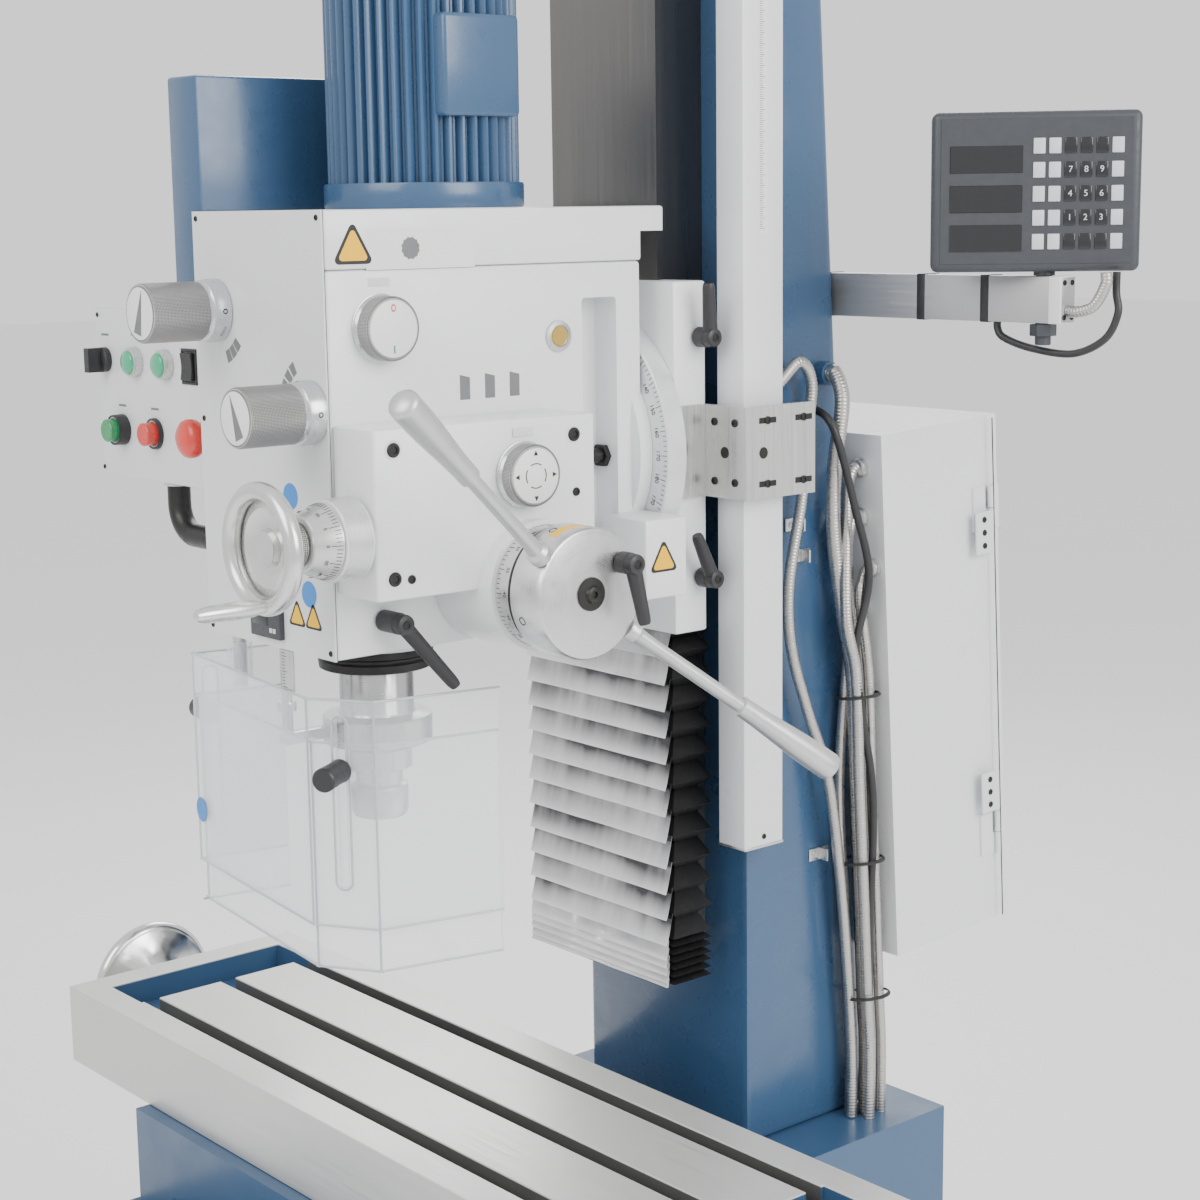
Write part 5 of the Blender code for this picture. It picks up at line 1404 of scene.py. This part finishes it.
def dressReadout():
    turn = radians(42)
    origin = np.array(jointOf["readout_display"]["pos_m"])
    spin = np.array([[cos(turn), -sin(turn), 0], [sin(turn), cos(turn), 0], [0, 0, 1]])
    def local(*shapes):
        points, faces = merged(shapes)
        return points @ spin.T + origin, faces
    case = roundBox((-0.1118, -0.0218, 0.0002), (0.0898, 0.0218, 0.1548), 0.0070, 4)
    nut = [(0.0132 * cos(a), 0.0132 * sin(a)) for a in np.arange(6) * pi / 3]
    post = lathe(readout["post"][::-1], (0, 0, 0), up, 40)
    standFor("readout_display", local(case, post, plateOf(nut, -0.0633, -0.0517)), "graphite")
    fascia = roundBox((-0.1030, -0.0224, 0.0080), (0.0810, -0.0212, 0.1480), 0.0005, 1)
    makePiece("readoutFascia", local(fascia), "graphite", "readout_display")
    windows = [
        roundBox(
            (-0.094, -0.0232, z), (-0.024, -0.0222, z + 0.026), 0.0004, 1
        ) for z in readout["windows"]
    ]
    makePiece("readoutWindows", local(*windows), "screen", "readout_display")
    keys, darkKeys, figures = [], [], []
    for row in range(5):
        for column in range(6):
            low = np.array((-0.014 + column * 0.0150, -0.0236, 0.022 + row * 0.0230))
            target = keys if column in (0, 1, 5) else darkKeys
            target.append(roundBox(low, low + (0.0115, 0.0020, 0.0150), 0.0008, 2))
            if 2 <= column <= 4 and 1 <= row <= 3:
                points, faces = letters(str((row - 1) * 3 + column - 1), 0.0085)
                x, z = points[:, 0] + low[0] + 0.0057, points[:, 1] + low[2] + 0.0075
                figures.append((np.column_stack([x, -points[:, 2] - 0.0238, z]), faces))
    makePiece("readoutPaleKeys", local(*keys), "key", "readout_display")
    makePiece("readoutDarkKeys", local(*darkKeys), "screen", "readout_display")
    makePiece("readoutFigures", local(*figures), "key", "readout_display")
    cap = roundBox((0.4165, 0.5247, 1.5097), (0.4319, 0.5473, 1.5563), 0.0010)
    makePiece("armCap", cap, "face", "readout_arm")
    clips = [roundBox((x, 0.5242, 1.5092), (x + 0.011, 0.5478, 1.5568), 0.0012) for x in readout["clips"]]
    makePiece("armClips", clips, "black", "readout_arm")
    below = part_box("readout_conduit")[1].z
    conduit = [(x, y, below + z) for x, y, z in readout["conduitStart"]] + readout["conduit"]
    ribs = ribbed(smoothPath(conduit, 0.0008), 0.0059, 0.0032)
    standFor("readout_conduit", ribs, "conduit", angle=80)
    cable = [(x, y, below + z) for x, y, z in readout["cableStart"]] + readout["cable"]
    standFor("readout_cable", sweep(smoothPath(cable, 0.003), 0.0039, 16), "black", angle=60)


def ribbed(path, radius, pitch):
    # a flexible metal conduit: the tube's radius rises and falls once for every rib along its length
    length = np.concatenate([[0], np.cumsum(np.linalg.norm(np.diff(path, axis=0), axis=1))])
    wave = np.abs(np.cos(pi * length / pitch)) ** 0.7
    return sweep(path, radius * (0.90 + 0.10 * wave), 14)


conduits = {
    "scale_conduit": {
        "radius": 0.0064,
        "points": [
            (0.155, 0.4003, 1.445), (0.155, 0.4123, 1.445), (0.158, 0.440, 1.466), (0.158, 0.458, 1.445),
            (0.156, 0.456, 1.400), (0.155, 0.447, 1.320), (0.155, 0.428, 1.230), (0.155, 0.432, 1.160),
            (0.156, 0.455, 1.090), (0.158, 0.485, 1.010), (0.158, 0.505, 0.900), (0.157, 0.520, 0.780),
            (0.155, 0.530, 0.680), (0.155, 0.530, 0.6003),
        ],
    },
    "motor_conduit": {
        "radius": 0.0084,
        "points": [
            (0.1485, 0.497, 1.450), (0.156, 0.497, 1.450), (0.168, 0.495, 1.420), (0.160, 0.492, 1.350),
            (0.155, 0.496, 1.280), (0.156, 0.510, 1.190), (0.158, 0.524, 1.120), (0.158, 0.530, 1.000),
            (0.157, 0.540, 0.860), (0.156, 0.548, 0.740), (0.155, 0.553, 0.680), (0.155, 0.553, 0.6003),
        ],
    },
    "control_cable": {
        "radius": 0.0044,
        "points": [
            (0.1343, 0.478, 1.412), (0.146, 0.478, 1.412), (0.170, 0.474, 1.402), (0.179, 0.482, 1.370),
            (0.178, 0.504, 1.310), (0.178, 0.528, 1.230), (0.174, 0.512, 1.150), (0.176, 0.520, 1.080),
            (0.177, 0.536, 1.000), (0.176, 0.540, 0.930), (0.174, 0.538, 0.840), (0.172, 0.540, 0.720),
            (0.170, 0.542, 0.660), (0.170, 0.542, 0.6003),
        ],
    },
}


bundle = {
    "extra": [
        (
            "bundleConduitA", (0.0150, -0.010, 0), 0.0066, 0.150, 1.345
        ), ("bundleConduitB", (-0.008, 0.0190, 0), 0.0066, 0.148, 1.290),
        ("bundleConduitC", (0.0090, 0.0160, 0), 0.0060, 0.164, 1.235), (
            "bundleConduitD", (-0.0105, -0.0150, 0), 0.0060, 0.146, 1.190
        ),
    ],
    "ties": [(1.095, 0.528), (0.905, 0.537), (0.745, 0.548)],
    "clips": [(0.462, 1.290), (0.470, 1.255), (0.500, 0.915)],
}


def dressConduits():
    for node, plan in conduits.items():
        if node == "control_cable":
            standFor(node, sweep(smoothPath(plan["points"], 0.004), plan["radius"], 16), "black", angle=60)
        else:
            tube = ribbed(smoothPath(plan["points"], 0.00085), plan["radius"], 0.0036)
            standFor(node, tube, "conduit", angle=80)
    run = np.array(conduits["motor_conduit"]["points"])[4:]
    for name, shift, radius, x, z in bundle["extra"]:
        wall = 0.543 + (1.382 - z) * 0.059
        lead = [(x, wall, z), (x, wall - 0.012, z), (x + 0.002, wall - 0.022, z - 0.012)]
        lead.append((x + 0.003, wall - 0.026, z - 0.034))
        points = np.concatenate([lead, [p for p in run + np.array(shift) if p[2] < z - 0.075]])
        tube = ribbed(smoothPath(points, 0.00085), radius, 0.0036)
        makePiece(name, tube, "conduit", "frame", angle=80)
        wide, tight = radius + 0.0042, radius + 0.0026
        gland = [(0.0004, 0), (wide, 0), (wide, 0.004), (tight, 0.005), (tight, 0.0095), (radius, 0.0105)]
        fitting = lathe(gland + [(0.0004, 0.0105)], (x, wall - 0.0002, z), ahead, 24)
        makePiece(name + "Gland", fitting, "aluminium", "frame")
    ties = []
    for z, y in bundle["ties"]:
        t = np.linspace(0, 2 * pi, 49)
        path = np.column_stack([0.1625 + 0.0215 * np.cos(t), y + 0.0265 * np.sin(t), z + 0.002 * np.cos(t)])
        path[:, 0] = np.maximum(path[:, 0], 0.1358)
        ties.append(sweep(path, 0.0012, 8, (1.0, 1.9)))
    makePiece("cableTies", ties, "ink", "frame")
    clips = []
    for y, z in bundle["clips"]:
        clips.append(roundBox((0.1342, y - 0.020, z - 0.007), (0.1362, y + 0.010, z + 0.007), 0.0008))
        clips.append(roundBox((0.1342, y - 0.004, z - 0.007), (0.1480, y - 0.001, z + 0.007), 0.0008))
        clips.append(screwHead((0.1362, y - 0.012, z), right, 0.0036))
    makePiece("conduitClips", clips, "aluminium", "frame")


dressReadout()
dressConduits()
print("readout and conduits dressed")


def dressWayCover():
    # pleats: the U-shaped outline moves in and out as a triangle wave up the column
    # slats: thin sheets that lean out and hang over the front of each fold
    low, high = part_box("way_bellows")
    z = [low.z + 0.001]
    for index in range(cover["folds"]):
        z.append(z[-1] + cover["tight"])
    while z[-1] + cover["open"] < high.z - 0.001:
        z.append(z[-1] + cover["open"])
    edges = np.array(z + [high.z - 0.0008])
    levels = np.sort(np.concatenate([edges, (edges[1:] + edges[:-1]) / 2]))
    depth = np.where(np.isin(levels, edges), 0.0005, cover["deep"])
    half, front, back = high.x, low.y, high.y - 0.0005
    first = front + cover["lean"] + 0.0025
    def outline(inset):
        return np.array(
            [
                (-half + inset, back), (-half + inset, first + inset), (half - inset, first + inset),
                (half - inset, back)
            ]
        )
    rows = np.stack([np.column_stack([outline(d), np.full(4, level)]) for d, level in zip(depth, levels)])
    inner = np.stack(
        [
            np.column_stack(
                [outline(d + 0.0012)[:, 0], outline(d + 0.0012)[:, 1], np.full(4, level)]
            ) for d,
            level in zip(depth, levels)
        ]
    )
    inner[:, (0, 3), 1] = back
    ring = np.concatenate([rows, inner[:, ::-1]], 1)
    count = ring.shape[1]
    faces = gridFaces(len(levels), count, True).tolist()
    faces += [list(range(count)), list(range((len(levels) - 1) * count, len(levels) * count))[::-1]]
    piece = makePiece(
        "wayCoverFolds", (ring.reshape(-1, 3), faces), "fold", None, ("way_bellows",), angle=20
    )
    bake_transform(piece)
    slats = []
    wide = np.linspace(-half + 0.0005, half - 0.0005, 40)
    for index, (bottom, top) in enumerate(zip(edges[:-1], edges[1:])):
        tall = np.linspace(0, 1, 10)
        reach = max(top - bottom, 0.016)
        heightOf = top - reach - 0.005 + (reach + 0.006) * tall
        heightOf = np.clip(heightOf, low.z + 0.0005, high.z - 0.0005)
        lean = front + 0.0006 + cover["lean"] * (tall ** 0.8) * min(1, (top - bottom) / 0.02)
        ripple = 0.0005 * np.sin(wide * 43 + index * 1.7) + 0.0006 * np.sin(wide * 17 + index * 2.9)
        grid = np.stack(
            [
                np.broadcast_to(wide, (10, 40)), lean[:, None] + np.abs(ripple)[None],
                np.broadcast_to(heightOf[:, None], (10, 40))
            ],
            -1
        )
        behind = grid.copy()
        behind[..., 1] += 0.0006
        shell = np.concatenate([grid, behind[::-1]], 0)
        points = shell.reshape(-1, 3)
        faces = gridFaces(20, 40, False).tolist()
        faces += [[k, k + 1, 19 * 40 + k + 1, 19 * 40 + k][::-1] for k in range(39)]
        sides = [[r * 40, (r + 1) * 40, (18 - r) * 40, (19 - r) * 40] for r in range(9)]
        faces += sides + [[corner + 39 for corner in side][::-1] for side in sides]
        slats.append((points, faces))
    piece = makePiece("wayCoverSlats", merged(slats), "slat", None, angle=50)
    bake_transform(piece)


def guardEdges(plan):
    # rounded lips along each wall's top and bottom and down its corners, milky as cut edges are
    lips = {"guard_upper": (0.0, 0.9552, 1.1778), "guard_lower": (0.0046, 0.9122, 1.1348)}
    plan = np.array(plan)
    centre = np.array((0.0, -0.02))
    for node, (inset, bottom, top) in lips.items():
        ways = np.diff(plan, axis=0)
        ways /= np.linalg.norm(ways, axis=1)[:, None]
        normals = np.column_stack([ways[:, 1], -ways[:, 0]])
        sides = np.where(((plan[:-1] - centre) * normals).sum(1) > 0, 1, -1)[:, None] * normals
        parts = []
        for (start, end), side in zip(zip(plan[:-1], plan[1:]), sides):
            for z in (bottom + 0.0007, top - 0.0007):
                a, b = start - side * (inset + 0.0011), end - side * (inset + 0.0011)
                parts.append(sweep(np.array([(*a, z), (*(a * 0.5 + b * 0.5), z), (*b, z)]), 0.0012, 8))
        for corner, (one, two) in zip(plan[1:-1], zip(sides[:-1], sides[1:])):
            shift = (one + two) / (1 + one @ two)
            spot = corner - shift * (inset + 0.0011)
            parts.append(
                sweep(np.array([(*spot, bottom), (*spot, (bottom + top) / 2), (*spot, top)]), 0.0012, 8)
            )
        if node == "guard_upper":
            for wall, share in ((0, 0.8), (2, 0.5)):
                start, end = plan[wall], plan[wall + 1]
                spot = start + (end - start) * share
                way, side = ways[wall], sides[wall]
                t = np.linspace(0, 2 * pi, 41)
                across = 0.0085 * np.cos(t)
                z = 1.0775 + 0.0085 * np.sin(t) + np.where(np.sin(t) > 0, 1, -1) * 0.076 * (
                    np.abs(np.sin(t)) > 1e-6
                )
                loop = np.column_stack(
                    [
                        spot[0] + way[0] * across + side[0] * 0.0004,
                        spot[1] + way[1] * across + side[1] * 0.0004, z
                    ]
                )
                parts.append(sweep(loop, 0.0011, 6))
        makePiece(node + "Edges", merged(parts), "cutEdge", bodyOf[node])


def dressGuardKnobs():
    for node in ("guard_knob_left", "guard_knob_right"):
        joint = jointOf[node]
        axis = Vector(joint["axis"]).normalized()
        seat = Vector(joint["pos_m"]) - axis * 0.0043
        shape = [
            (0.0004, 0), (0.0039, 0), (0.0039, 0.0050), (0.0100, 0.0052), (0.0116, 0.0066),
            (0.0110, 0.0200), (0.0116, 0.0380), (0.0116, 0.0440), (0.0100, 0.0462), (0.0004, 0.0465)
        ]
        standFor(node, lathe(shape, seat, axis, 40), "black")
    plan = [(-0.180, 0.0), (-0.200, -0.095), (0.070, -0.130), (0.129, -0.093), (0.157, 0.035)]
    guardEdges(plan)
    makePiece(
        "guardDisc",
        lathe(
            [(0.0002, 0), (0.0130, 0), (0.0130, 0.0003), (0.0002, 0.0003)], (-0.1880, -0.0973, 1.012),
            (-0.13, -0.99, 0), 40
        ),
        "blueFoil", "guard_upper"
    )


dressWayCover()
dressGuardKnobs()
print("way cover and guard dressed")


def makeFloor():
    mesh = bpy.data.meshes.new("floor")
    size = 30.0
    mesh.from_pydata(
        [(-size, -size, -0.0005), (size, -size, -0.0005), (size, size, -0.0005), (-size, size, -0.0005)],
        [], [(0, 1, 2, 3)]
    )
    floor = bpy.data.objects.new("floor", mesh)
    bpy.context.scene.collection.objects.link(floor)
    floorPaint, tree, shader = freshMaterial("paleFloor", Roughness=0.6)
    shade = toned(tree, noise(tree, objectPoint(tree), 0.6, 3.0), (0.88, 0.88, 0.88), (0.92, 0.92, 0.92))
    tree.links.new(shade, shader.inputs["Base Color"])
    mesh.materials.append(floorPaint)


makeFloor()
for node, solid in frame["nodes"].items():
    if node not in shown:
        print("carried over:", node)
        solid.data.materials.clear()
        solid.data.materials.append(finishes["black"])
